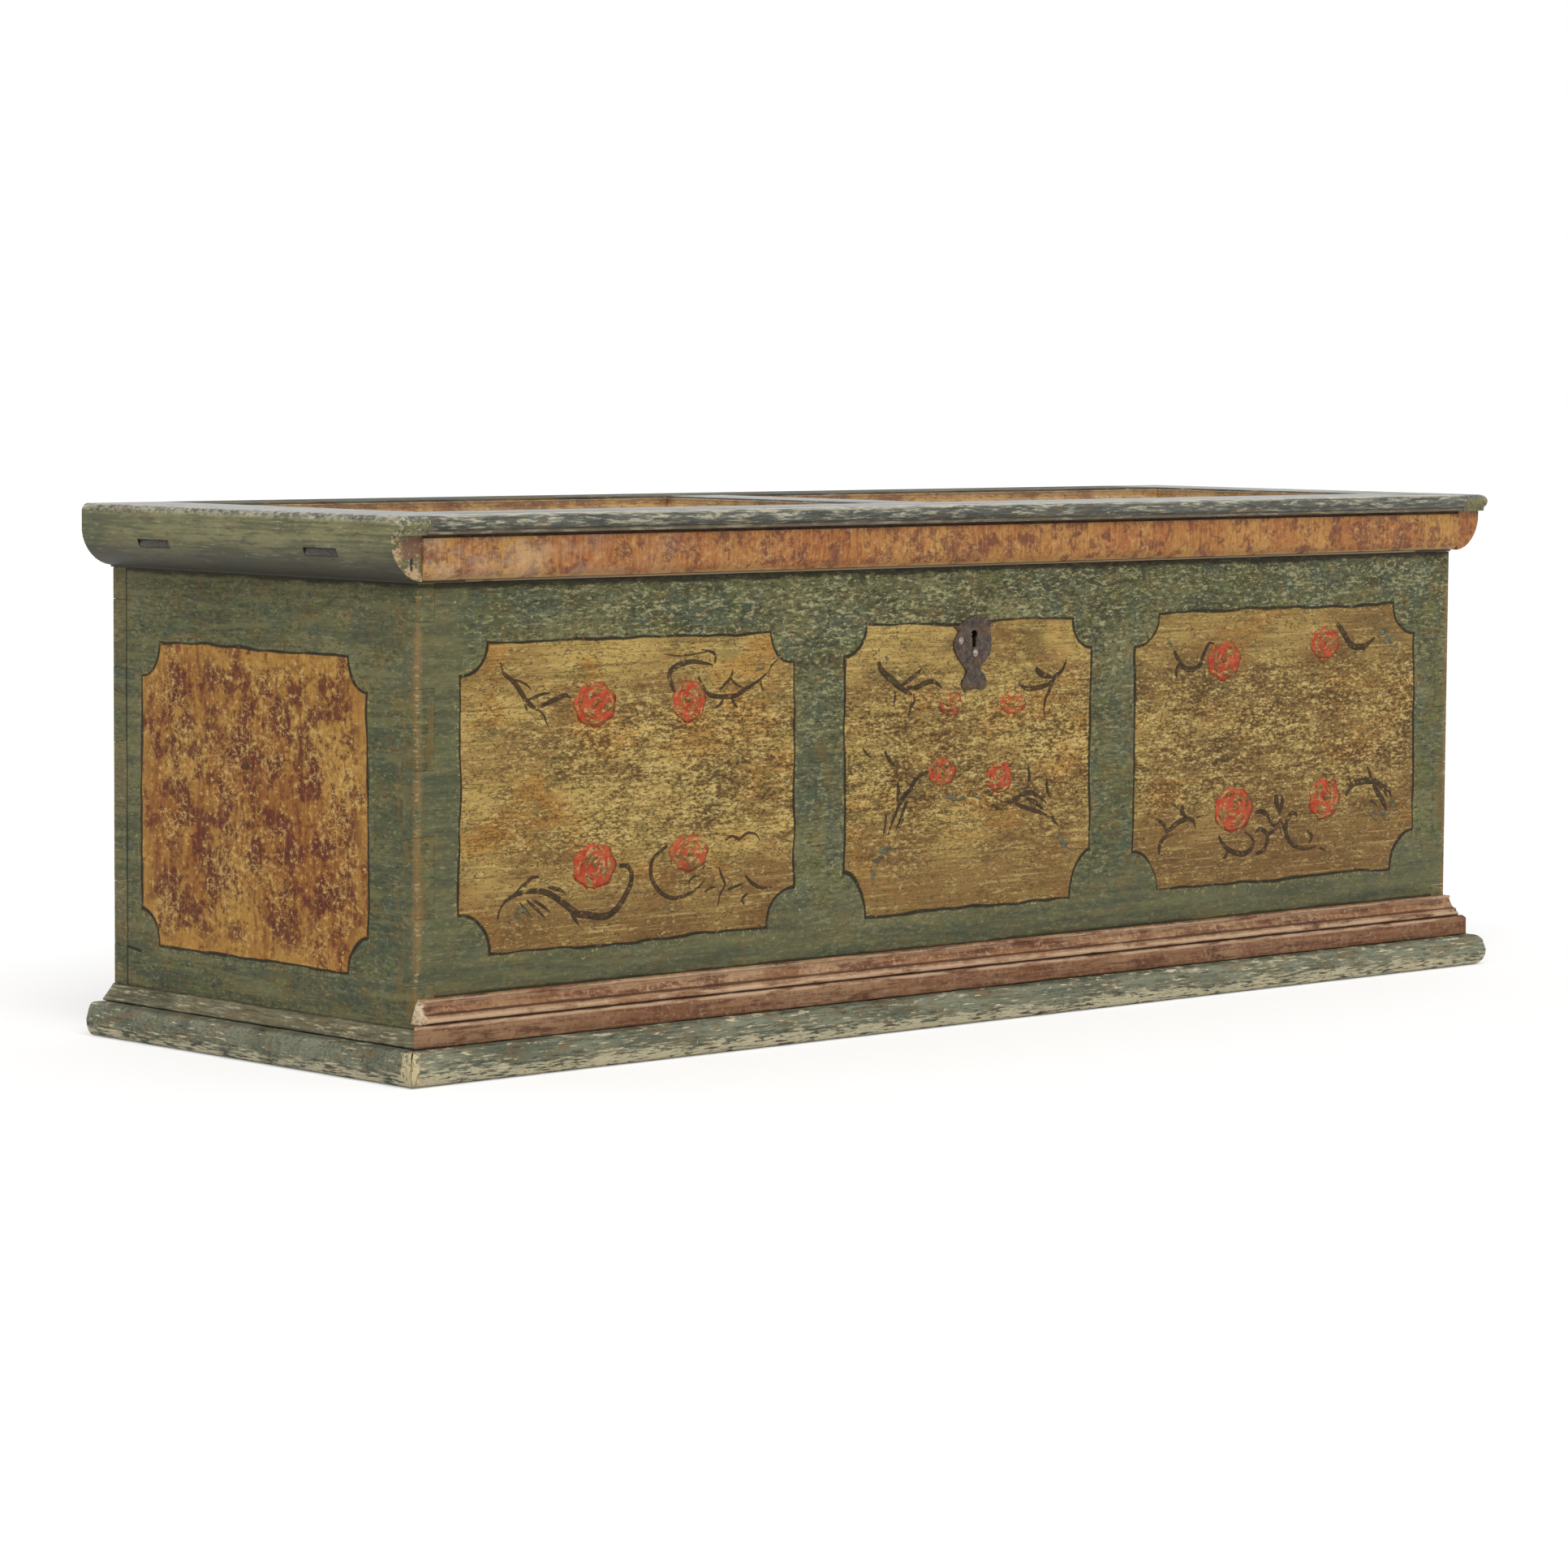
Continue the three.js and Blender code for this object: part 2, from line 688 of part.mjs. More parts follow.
function lidStaple() {
  const plate = block(
    [stapleX - staplePlateLength / 2, stapleX + staplePlateLength / 2],
    [stapleFront, stapleBack],
    [lidFoot - fitGap - staplePlateThickness, lidFoot - fitGap],
  );
  const foot = lidFoot - stapleDrop;
  const leg = block(
    [stapleX - stapleThickness / 2, stapleX + stapleThickness / 2],
    [stapleFront, stapleBack],
    [foot, lidFoot - fitGap - staplePlateThickness / 2],
  );
  const eye = block(
    [stapleX - stapleThickness, stapleX + stapleThickness],
    widened([boltFront, boltBack], stapleEyeSlack),
    widened([boltFoot, boltTop], stapleEyeSlack),
  );
  return cut(joined(plate, leg), eye, ...stapleNails.map((place) => placed(nailHole(), facingDown, place)));
}

// Hinges, made at the right-hand end and mirrored

function knuckle([x0, x1], radius) {
  const geometry = new THREE.CylinderGeometry(radius, radius, x1 - x0, roundSides);
  return geometry.rotateZ(Math.PI / 2).translate((x0 + x1) / 2, pivotY, pivotZ);
}

function knuckleBore(x0, x1) {
  return knuckle([x0 - overrun, x1 + overrun], hingePinRadius + hingePinClearance);
}

function hingeLeaf() {
  const left = hingeSpread - leafWidth / 2;
  const right = hingeSpread + leafWidth / 2;
  const foot = pivotZ - leafLength;
  const outline = [
    [left, pivotZ],
    [left, pivotZ - leafLength * 0.55],
    [hingeSpread - leafTipWidth / 2, pivotZ - leafLength * 0.78],
    ...arc(hingeSpread, foot + leafTipWidth / 2, leafTipWidth / 2, leafTipWidth / 2, 2, 4),
    [hingeSpread + leafTipWidth / 2, pivotZ - leafLength * 0.78],
    [right, pivotZ - leafLength * 0.55],
    [right, pivotZ],
  ];
  const plate = sweepY(outline, [backFace + fitGap, backFace + fitGap + hingeIron]);
  const barrel = knuckle([left, right], knuckleRadius);
  const half = knuckleWidth / 2 + fitGap;
  const middle = block(
    [hingeSpread - half, hingeSpread + half],
    [backFace, backFace + hingeReach + overrun],
    [pivotZ - knuckleRadius - fitGap, pivotZ + knuckleRadius + overrun],
  );
  const holes = leafNails.map((place) => placed(nailHole(), facingBack, place));
  return cut(joined(plate, barrel), middle, knuckleBore(left, right), ...holes);
}

function strapOutline(grow) {
  const tip = backFace - strapLength;
  const half = strapWidth / 2 + grow;
  const tipHalf = strapTipWidth / 2 + grow;
  const neckHalf = knuckleWidth / 2 + grow;
  const end = grow > 0 ? backFace + overrun : pivotY - (knuckleRadius + hingePinRadius) / 2;
  return [
    ...arc(hingeSpread, tip + strapTipWidth / 2, tipHalf, tipHalf, 2, 4),
    [hingeSpread + half, backFace - strapLength * 0.45],
    [hingeSpread + half, backFace - strapNeck],
    [hingeSpread + neckHalf, backFace - strapNeck / 3],
    [hingeSpread + neckHalf, end],
    [hingeSpread - neckHalf, end],
    [hingeSpread - neckHalf, backFace - strapNeck / 3],
    [hingeSpread - half, backFace - strapNeck],
    [hingeSpread - half, backFace - strapLength * 0.45],
  ];
}

function hingeStrap() {
  const plate = sweepZ(strapOutline(0), [pivotZ, pivotZ + hingeIron]);
  const barrel = knuckle([hingeSpread - knuckleWidth / 2, hingeSpread + knuckleWidth / 2], knuckleRadius);
  const holes = strapNails.map((place) => placed(nailHole(), facingDown, place));
  const bore = knuckleBore(hingeSpread - knuckleWidth / 2, hingeSpread + knuckleWidth / 2);
  return cut(joined(plate, barrel), bore, ...holes);
}

function hingePin() {
  const half = leafWidth / 2 + fitGap;
  const outline = [
    [0, -half - hingePinHeadThickness],
    [hingePinHeadRadius * 0.7, -half - hingePinHeadThickness],
    [hingePinHeadRadius, -half],
    [hingePinRadius, -half],
    [hingePinRadius, half],
    [hingePinHeadRadius, half],
    [hingePinHeadRadius * 0.7, half + hingePinHeadThickness],
    [0, half + hingePinHeadThickness],
  ].map(([r, h]) => new THREE.Vector2(r, h));
  return new THREE.LatheGeometry(outline, roundSides).rotateZ(Math.PI / 2).translate(hingeSpread, pivotY, pivotZ);
}

// Lid frame

const bothSides = (geometry) => [geometry, mirrored(geometry)];

// The stile's section across the chest: a rounded upper edge and a quarter round under the overhang
function stileSection() {
  const ovoloCentre = lidFoot + mouldLift + sideOvoloRadius;
  const inner = lidHalfLength - sideOvoloRadius;
  const edge = lidHalfLength - lidEdgeRadius;
  return [
    [-stileInner, lidFoot],
    [-inner, lidFoot],
    ...flatter(arc(-inner, ovoloCentre, sideOvoloRadius, sideOvoloRadius, 3, 2), sideOvoloFullness),
    ...arc(-edge, lidTop - lidEdgeRadius, lidEdgeRadius, lidEdgeRadius, 2, 1),
    [-stileInner, lidTop],
  ];
}

// The nosing's edge from its foot up: a narrow flat strip, and a round that overhangs it
function nosingNose(place) {
  const radius = (nosingThickness - nosingFilletHeight) / 2;
  const filletReach = nosingProjection - nosingFilletSetback;
  const edge = [
    [filletReach, nosingFoot],
    [filletReach, nosingFoot + nosingFilletHeight],
    ...arc(nosingProjection - radius, lidTop - radius, radius, radius, -0.8, 1),
  ];
  return edge.map(([reach, z]) => [place(reach), z]);
}

// The stile seen from its side: its front end carries the nosing on
function stileSide() {
  const nose = nosingNose((reach) => frontFace - reach);
  return [
    [frontFace - hornReach, lidFoot],
    [frontFace - hornReach, nosingFoot],
    ...nose,
    [backFace, lidTop],
    [backFace, lidFoot],
  ];
}

const throughTenonSpans = [
  [recessFront + throughTenonInset, recessFront + throughTenonInset + throughTenonWidth],
  [recessBack - throughTenonInset - throughTenonWidth, recessBack - throughTenonInset],
];

const railTenonSpans = [
  [frontFace + railTenonShoulder, recessFront - railTenonShoulder],
  [recessBack + railTenonShoulder, backFace - railTenonShoulder],
];

function lidStile() {
  const section = sweepY(stileSection(), [frontFace - nosingProjection - overrun, backFace + overrun]);
  const side = sweepX(stileSide(), [-lidHalfLength - overrun, -stileInner + overrun]);
  const frontStep = block(
    [-hornInner, -stileInner + overrun],
    [frontFace - nosingProjection - overrun, frontFace],
    [lidFoot - overrun, lidTop + overrun],
  );
  const groove = block(
    [-stileInner - tongueLength - fitGap, -stileInner + overrun],
    [recessFront - fitGap, recessBack + fitGap],
    widened([panelFoot, tongueTop]),
  );
  const throughMortises = throughTenonSpans.map((span) => block(
    [-lidHalfLength - overrun, -stileInner + overrun],
    widened(span),
    widened([panelFoot, tongueTop]),
  ));
  const railMortises = railTenonSpans.map((span) => block(
    [-stileInner - railTenonLength - fitGap, -stileInner + overrun],
    widened(span),
    widened([railTenonFoot, railTenonTop]),
  ));
  return cut(common(section, side), frontStep, groove, ...throughMortises, ...railMortises);
}

// A rail from stile to stile with a tenon at each end, grooved for the panels and mortised for the mullion
function lidRail(face, recess, tenonSpan, ...extraCuts) {
  const inner = stileInner - fitGap;
  const body = block([-inner, inner], [Math.min(face, recess), Math.max(face, recess)], [lidFoot, lidTop]);
  const tenons = block(
    [-stileInner - railTenonLength, stileInner + railTenonLength],
    tenonSpan,
    [railTenonFoot, railTenonTop],
  );
  const away = Math.sign(face - recess);
  const groove = block(
    [-stileInner - overrun, stileInner + overrun],
    ordered(recess - away * overrun, recess + away * (tongueLength + fitGap)),
    widened([panelFoot, tongueTop]),
  );
  const mortise = block(
    widened([mullionLeft + railTenonShoulder, mullionRight - railTenonShoulder]),
    ordered(recess - away * overrun, recess + away * (mullionTenonLength + fitGap)),
    widened([railTenonFoot, railTenonTop]),
  );
  return cut(joined(body, tenons), groove, mortise, ...extraCuts);
}

function ordered(a, b) {
  return a < b ? [a, b] : [b, a];
}

const frontRailCuts = () => stapleNails.map((place) => placed(nailHole(), facingDown, place));

function backRailCuts() {
  const housing = sweepZ(strapOutline(fitGap), [lidFoot - overrun, lidFoot + hingeIron + fitGap]);
  return [...bothSides(housing), ...strapNails.map((place) => placed(nailHole(), facingDown, place))];
}

function lidMullion() {
  const foot = lidTop - mullionHeight;
  const body = block([mullionLeft, mullionRight], [recessFront + fitGap, recessBack - fitGap], [foot, lidTop]);
  const tenon = block(
    [mullionLeft + railTenonShoulder, mullionRight - railTenonShoulder],
    [recessFront - mullionTenonLength, recessBack + mullionTenonLength],
    [railTenonFoot, railTenonTop],
  );
  const grooves = [[mullionLeft, 1], [mullionRight, -1]].map(([edge, inward]) => block(
    ordered(edge - inward * overrun, edge + inward * (tongueLength + fitGap)),
    [recessFront - overrun, recessBack + overrun],
    widened([panelFoot, tongueTop]),
  ));
  return cut(joined(body, tenon), ...grooves);
}

// A thick board with a tongue all round, and two tenons that go right through the stile
function lidPanel(stileSideX, mullionSideX) {
  const outward = Math.sign(stileSideX - mullionSideX);
  const gap = outward * fitGap;
  const field = block(
    ordered(stileSideX - gap, mullionSideX + gap),
    [recessFront + fitGap, recessBack - fitGap],
    [panelFoot, panelTop],
  );
  const tongue = block(
    ordered(stileSideX + outward * tongueLength, mullionSideX - outward * tongueLength),
    [recessFront - tongueLength, recessBack + tongueLength],
    [panelFoot, tongueTop],
  );
  const corners = [recessFront, recessBack].map((edge) => block(
    ordered(stileSideX - gap, stileSideX + outward * (tongueLength + overrun)),
    ordered(edge, edge + Math.sign(edge - (recessFront + recessBack) / 2) * (tongueLength + overrun)),
    [panelFoot - overrun, tongueTop + overrun],
  ));
  const mullionCorners = [recessFront, recessBack].map((edge) => block(
    ordered(mullionSideX + gap, mullionSideX - outward * (tongueLength + overrun)),
    ordered(edge, edge + Math.sign(edge - (recessFront + recessBack) / 2) * (tongueLength + overrun)),
    [panelFoot - overrun, tongueTop + overrun],
  ));
  const reach = stileSideX + outward * (stileWidth - throughTenonRecess);
  const tenons = throughTenonSpans.map((span) => block(
    ordered(stileSideX, reach),
    span,
    [panelFoot, tongueTop],
  ));
  return joined(cut(joined(field, tongue), ...corners, ...mullionCorners), ...tenons);
}

function lidNosing() {
  const nose = nosingNose((reach) => reach);
  const profile = [[fitGap, nosingFoot], ...nose, [fitGap, lidTop]];
  const half = hornInner - fitGap;
  return moulding(
    profile,
    (reach, height) => at(-half, frontFace - reach, height),
    (reach, height) => at(half, frontFace - reach, height),
  );
}

function lidFrontMoulding() {
  const foot = lidFoot + mouldLift;
  const top = nosingFoot - fitGap;
  const ovoloCentre = frontMouldProjection - frontOvoloReach;
  const profile = [
    [fitGap, foot],
    ...arc(ovoloCentre, foot + frontOvoloHeight, frontOvoloReach, frontOvoloHeight, -1, 0),
    [frontMouldProjection, nosingFoot - frontGrooveHeight],
    [frontMouldProjection - frontGrooveDepth, nosingFoot - frontGrooveHeight],
    [frontMouldProjection - frontGrooveDepth, top],
    [fitGap, top],
  ];
  const half = hornInner - fitGap;
  return moulding(
    profile,
    (reach, height) => at(-half, frontFace - reach, height),
    (reach, height) => at(half, frontFace - reach, height),
  );
}

// Stepped beads that line a sunk panel, mitred in its corners

const beadProfile = [
  [fitGap, 0],
  [beadWidth, 0],
  [beadWidth, beadHeight * 0.16],
  ...arc(beadWidth, beadHeight * 0.46, beadWidth * 0.34, beadHeight * 0.24, 3, 2, 3),
  [beadWidth * 0.52, beadHeight * 0.46],
  [beadWidth * 0.52, beadHeight * 0.58],
  ...arc(beadWidth * 0.28, beadHeight * 0.58, beadWidth * 0.24, beadHeight * 0.42, 0, 1, 3),
  [fitGap, beadHeight],
];

function panelBeads(left, right) {
  const foot = panelTop + fitGap;
  const front = (x) => (reach, height) => at(x(reach), recessFront + reach, foot + height);
  const back = (x) => (reach, height) => at(x(reach), recessBack - reach, foot + height);
  const leftSide = (y) => (reach, height) => at(left + reach, y(reach), foot + height);
  const rightSide = (y) => (reach, height) => at(right - reach, y(reach), foot + height);
  const fromLeft = (reach) => left + reach + mitreSlack;
  const fromRight = (reach) => right - reach - mitreSlack;
  const fromFront = (reach) => recessFront + reach + mitreSlack;
  const fromBack = (reach) => recessBack - reach - mitreSlack;
  return {
    front: moulding(beadProfile, front(fromLeft), front(fromRight)),
    back: moulding(beadProfile, back(fromLeft), back(fromRight)),
    left: moulding(beadProfile, leftSide(fromFront), leftSide(fromBack)),
    right: moulding(beadProfile, rightSide(fromFront), rightSide(fromBack)),
  };
}

// Colours

const paint = (color, roughness, metalness = 0) => new THREE.MeshStandardMaterial({ color, roughness, metalness });
const greenPaint = paint(0x5d6450, 0.75);
const bluePaint = paint(0x4a5a58, 0.7);
const redPaint = paint(0x9a6040, 0.7);
const ochrePaint = paint(0xa5824e, 0.7);
const bareWood = paint(0x8b6f4c, 0.85);
const wroughtIron = paint(0x4a4038, 0.6, 0.8);
const brightIron = paint(0x6d6a66, 0.45, 0.9);

// Assembly

const chest = new THREE.Group();

function add(name, geometry, material) {
  const mesh = new THREE.Mesh(geometry, material);
  mesh.name = name;
  chest.add(mesh);
}

function addPair(name, leftGeometry, material) {
  add(`left_${name}`, leftGeometry, material);
  add(`right_${name}`, mirrored(leftGeometry), material);
}

function addNails(name, places, facing) {
  places.forEach((place, index) => {
    add(`${name}_nail_${index + 1}`, placed(nail(), facing, place), wroughtIron);
  });
}

add('front_board', frontBoard(), greenPaint);
add('back_board', backBoard(), bareWood);
add('back_top_rail', backTopRail(), bareWood);
addPair('end_board', endBoard(), greenPaint);
for (let i = 0; i < bottomBoardCount; i += 1) add(`bottom_board_${i + 1}`, bottomBoard(i), bareWood);

add('front_base_moulding', frontMitred(baseProfile), bluePaint);
addPair('base_moulding', sideMitred(baseProfile), bluePaint);
add('front_plinth_fascia', frontMitred(fasciaProfile), redPaint);
addPair('plinth_moulding', sideMitred(sideMouldProfile), greenPaint);
add('front_plinth_band', frontBand(), redPaint);

add('escutcheon', escutcheon(), wroughtIron);
add('lock_case', lockCase(), wroughtIron);
add('lock_drill_pin', drillPin(), brightIron);
add('lock_spring', lockSpring(), brightIron);
add('lock_bolt', lockBolt(), brightIron);
addNails('escutcheon', escutcheonNails, facingFront);
addNails('lock', lockNails, facingBack);

add('right_hinge_leaf', hingeLeaf(), wroughtIron);
add('left_hinge_leaf', mirrored(hingeLeaf()), wroughtIron);
add('right_hinge_pin', hingePin(), brightIron);
add('left_hinge_pin', mirrored(hingePin()), brightIron);
addNails('hinge_leaf', leafNails, facingBack);

addPair('lid_stile', lidStile(), greenPaint);
add('lid_front_rail', lidRail(frontFace, recessFront, railTenonSpans[0], ...frontRailCuts()), bluePaint);
add('lid_back_rail', lidRail(backFace, recessBack, railTenonSpans[1], ...backRailCuts()), bluePaint);
add('lid_mullion', lidMullion(), bluePaint);
add('lid_left_panel', lidPanel(-stileInner, mullionLeft), greenPaint);
add('lid_right_panel', lidPanel(stileInner, mullionRight), greenPaint);
add('lid_nosing', lidNosing(), bluePaint);
add('lid_front_moulding', lidFrontMoulding(), redPaint);

const recesses = { left: [-stileInner, mullionLeft], right: [mullionRight, stileInner] };
for (const [which, [left, right]] of Object.entries(recesses)) {
  const beads = panelBeads(left, right);
  for (const [side, geometry] of Object.entries(beads)) {
    add(`${which}_panel_bead_${side}`, geometry, ochrePaint);
  }
}

add('lid_staple', lidStaple(), wroughtIron);
addNails('staple', stapleNails, facingDown);
add('right_hinge_strap', hingeStrap(), wroughtIron);
add('left_hinge_strap', mirrored(hingeStrap()), wroughtIron);
addNails('hinge_strap', strapNails, facingDown);

export default chest;
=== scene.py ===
# Looks for the painted coffer chest: old green paint over softwood, three ochre fields with roses and
# scrolls on the front, marbled fields at the ends, marbled mouldings and a scuffed blue-green base.
import json
import math
import random

import bmesh
import bpy
from mathutils import Matrix, Vector, noise


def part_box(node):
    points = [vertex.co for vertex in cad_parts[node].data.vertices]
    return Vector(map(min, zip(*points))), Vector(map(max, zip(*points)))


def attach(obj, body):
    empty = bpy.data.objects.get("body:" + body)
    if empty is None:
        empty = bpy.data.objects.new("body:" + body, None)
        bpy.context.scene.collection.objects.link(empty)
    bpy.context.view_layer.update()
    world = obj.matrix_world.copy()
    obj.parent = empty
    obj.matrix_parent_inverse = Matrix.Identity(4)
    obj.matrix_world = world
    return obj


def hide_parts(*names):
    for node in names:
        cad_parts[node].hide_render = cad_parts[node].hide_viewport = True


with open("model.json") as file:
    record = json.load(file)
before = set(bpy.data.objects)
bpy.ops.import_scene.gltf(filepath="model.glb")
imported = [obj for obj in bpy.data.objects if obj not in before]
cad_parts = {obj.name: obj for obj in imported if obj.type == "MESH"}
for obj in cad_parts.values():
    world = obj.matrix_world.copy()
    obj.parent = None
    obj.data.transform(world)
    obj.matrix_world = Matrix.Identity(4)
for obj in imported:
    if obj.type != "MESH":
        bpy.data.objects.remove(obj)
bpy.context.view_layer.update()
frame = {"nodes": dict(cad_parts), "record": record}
nodes = frame["nodes"]
scene = bpy.context.scene
mm = 0.001


def edgesOf(node):
    low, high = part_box(node)
    return low / mm, high / mm


boardLow, boardHigh = edgesOf("front_board")
baseTop = edgesOf("front_base_moulding")[1].z
railLow, railHigh = edgesOf("lid_front_rail")
noseLow = edgesOf("lid_nosing")[0]
stileHigh = edgesOf("left_lid_stile")[1]
frontFace = boardLow.y
frontInner = boardHigh.y
backInner, backFace = (corner.y for corner in edgesOf("back_board"))
bandFoot, bandTop = (corner.z for corner in edgesOf("front_plinth_band"))
bodyEnd = boardHigh.x
rim = boardHigh.z
lidTop = railHigh.z


def linear(value):
    share = value / 255
    return share / 12.92 if share <= 0.04045 else ((share + 0.055) / 1.055) ** 2.4


# a paint colour as the eye sees it, each part from 0 to 255
def paint(red, green, blue):
    return (linear(red), linear(green), linear(blue), 1.0)


def tones(**colours):
    return {name: paint(*colour) for name, colour in colours.items()}


# A socket of a node tree that can be used in sums
class Signal:
    def __init__(self, tree, socket=None):
        self.tree = tree
        self.socket = socket

    # a new node: its settings first, then the values or links of its sockets
    def node(self, kind, settings=None, inputs=None, output=0):
        made = self.tree.nodes.new(kind)
        for name, value in (settings or {}).items():
            setattr(made, name, value)
        for name, value in (inputs or {}).items():
            if isinstance(value, Signal):
                self.tree.links.new(value.socket, made.inputs[name])
            else:
                made.inputs[name].default_value = value
        return Signal(self.tree, made.outputs[output] if made.outputs else None)

    def math(self, operation, *others):
        return self.node("ShaderNodeMath", {"operation": operation}, dict(enumerate([self, *others])))

    def __add__(self, other):
        return self.math("ADD", other)

    def __sub__(self, other):
        return self.math("SUBTRACT", other)

    def __rsub__(self, other):
        return self.node("ShaderNodeMath", {"operation": "SUBTRACT"}, {0: other, 1: self})

    def __mul__(self, other):
        return self.math("MULTIPLY", other)

    def __truediv__(self, other):
        return self.math("DIVIDE", other)

    __radd__ = __add__
    __rmul__ = __mul__

    def least(self, other):
        return self.math("MINIMUM", other)

    def most(self, other):
        return self.math("MAXIMUM", other)

    def size(self):
        return self.math("ABSOLUTE")

    # 0 up to low and 1 from high on, or the other way round where low is the greater
    def step(self, low, high):
        inputs = {"Value": self, "From Min": low, "From Max": high}
        return self.node("ShaderNodeMapRange", {"interpolation_type": "SMOOTHSTEP"}, inputs)

    # the first colour where this is 0, the second where it is 1
    def mix(self, first, second):
        return self.node("ShaderNodeMix", {"data_type": "RGBA"}, {0: self, 6: first, 7: second}, 2)

    def parts(self):
        return [self.node("ShaderNodeSeparateXYZ", {}, {0: self}, i) for i in range(3)]

    def stretched(self, sizes, shift):
        inputs = {0: self, 1: tuple(1 / size for size in sizes), 2: (shift, 1.7 * shift, -shift)}
        return self.node("ShaderNodeVectorMath", {"operation": "MULTIPLY_ADD"}, inputs)

    # cloudy noise round 0.5, its clouds about so many mm long, deep and high
    def clouds(self, sizes, detail=2.0, shift=0.0, roughness=0.55, bend=0.0):
        inputs = {
            "Vector": self.stretched(sizes, shift), "Scale": 1.0, "Detail": detail,
            "Roughness": roughness, "Distortion": bend,
        }
        return self.node("ShaderNodeTexNoise", {}, inputs)

    # thin winding lines, where such a cloud crosses its middle
    def lines(self, sizes, width, shift=0.0, detail=1.0):
        return (self.clouds(sizes, detail, shift) - 0.5).size().step(width, width * 0.35)


# Camera, floor and light
filmSide = 36
view = {
    "place": (-4.2904, -4.48725, 0.7666), "yaw": 43.22, "pitch": 4.67, "roll": 0.37, "lens": 118.26,
    "farthest": 200,
}
studio = {
    "world": 0.5, "sun": 1.7, "sunAngle": 50, "sunTurn": (42, 0, -34),
    "floor": 0.8, "floorGlow": 0.34, "floorSize": 60,
}


def makeCamera(s):
    data = bpy.data.cameras.new("camera")
    data.sensor_width = filmSide
    data.lens = s["lens"]
    data.clip_end = s["farthest"]
    yaw, pitch, roll = (math.radians(s[name]) for name in ("yaw", "pitch", "roll"))
    ahead = Vector((math.sin(yaw) * math.cos(pitch), math.cos(yaw) * math.cos(pitch), -math.sin(pitch)))
    level = Vector((math.cos(yaw), -math.sin(yaw), 0))
    up = level.cross(ahead)
    right = math.cos(roll) * level + math.sin(roll) * up
    top = math.cos(roll) * up - math.sin(roll) * level
    camera = bpy.data.objects.new("camera", data)
    turned = Matrix((right, top, -ahead)).transposed().to_4x4()
    camera.matrix_world = Matrix.Translation(s["place"]) @ turned
    scene.collection.objects.link(camera)
    scene.camera = camera


def emptyTree(owner):
    owner.use_nodes = True
    owner.node_tree.nodes.clear()
    return Signal(owner.node_tree)


def surfaced(start, inputs):
    surface = start.node("ShaderNodeBsdfPrincipled", {}, inputs)
    start.node("ShaderNodeOutputMaterial", {}, {"Surface": surface})


# 1 where the camera, a reflection or a refraction sees the backdrop
def seenDirectly(start):
    kinds = [f"Is {kind} Ray" for kind in ("Camera", "Glossy", "Transmission")]
    camera, glossy, transmitted = (start.node("ShaderNodeLightPath", {}, {}, kind) for kind in kinds)
    return (camera + glossy + transmitted).least(1.0)


def makeLight(s):
    world = bpy.data.worlds.new("studio")
    scene.world = world
    start = emptyTree(world)
    strength = seenDirectly(start) * (1 - s["world"]) + s["world"]
    light = start.node("ShaderNodeBackground", {}, {"Color": (1, 1, 1, 1), "Strength": strength})
    start.node("ShaderNodeOutputWorld", {}, {"Surface": light})
    lamp = bpy.data.objects.new("softbox", bpy.data.lights.new("softbox", "SUN"))
    lamp.data.energy = s["sun"]
    lamp.data.angle = math.radians(s["sunAngle"])
    lamp.rotation_euler = [math.radians(turn) for turn in s["sunTurn"]]
    scene.collection.objects.link(lamp)


def makeFloor(s):
    half = s["floorSize"] / 2
    corners = [(-half, -half, 0), (half, -half, 0), (half, half, 0), (-half, half, 0)]
    mesh = bpy.data.meshes.new("floor")
    mesh.from_pydata(corners, [], [(0, 1, 2, 3)])
    floor = bpy.data.objects.new("floor", mesh)
    scene.collection.objects.link(floor)
    material = bpy.data.materials.new("paleFloor")
    start = emptyTree(material)
    glow = seenDirectly(start).mix((0, 0, 0, 1), (1, 1, 1, 1))
    inputs = {
        "Base Color": (s["floor"],) * 3 + (1,), "Roughness": 1.0, "Specular IOR Level": 0.0,
        "Emission Color": glow, "Emission Strength": s["floorGlow"],
    }
    surfaced(start, inputs)
    mesh.materials.append(material)


print("camera, floor and light")
makeCamera(view)
makeLight(studio)
makeFloor(studio)


# Paints. Each describes itself at a place in mm and gives its colour, roughness and height.
def newMaterial(name, describe, relief=0.3, metallic=0.0, gloss=0.2):
    material = bpy.data.materials.new(name)
    start = emptyTree(material)
    metres = start.node("ShaderNodeTexCoord", {}, {}, "Object")
    place = metres.stretched((mm, mm, mm), 0)
    colour, roughness, height = describe(place)
    normal = start.node("ShaderNodeBump", {}, {"Height": height, "Distance": relief * mm})
    inputs = {
        "Base Color": colour, "Roughness": roughness, "Metallic": metallic,
        "Specular IOR Level": gloss, "Normal": normal,
    }
    surfaced(start, inputs)
    return material


def layered(colour, *layers):
    for share, over in layers:
        colour = share.mix(colour, over)
    return colour


# sizes of clouds that follow the grain, which runs along x (0), y (1) or z (2)
def grained(along, length, width):
    return tuple(length if i == along else width for i in range(3))


bareWoodTones = tones(
    light=(172, 142, 100), dark=(142, 110, 74), line=(102, 76, 50), grey=(138, 126, 104),
    knot=(84, 58, 38), dirt=(74, 60, 44),
)


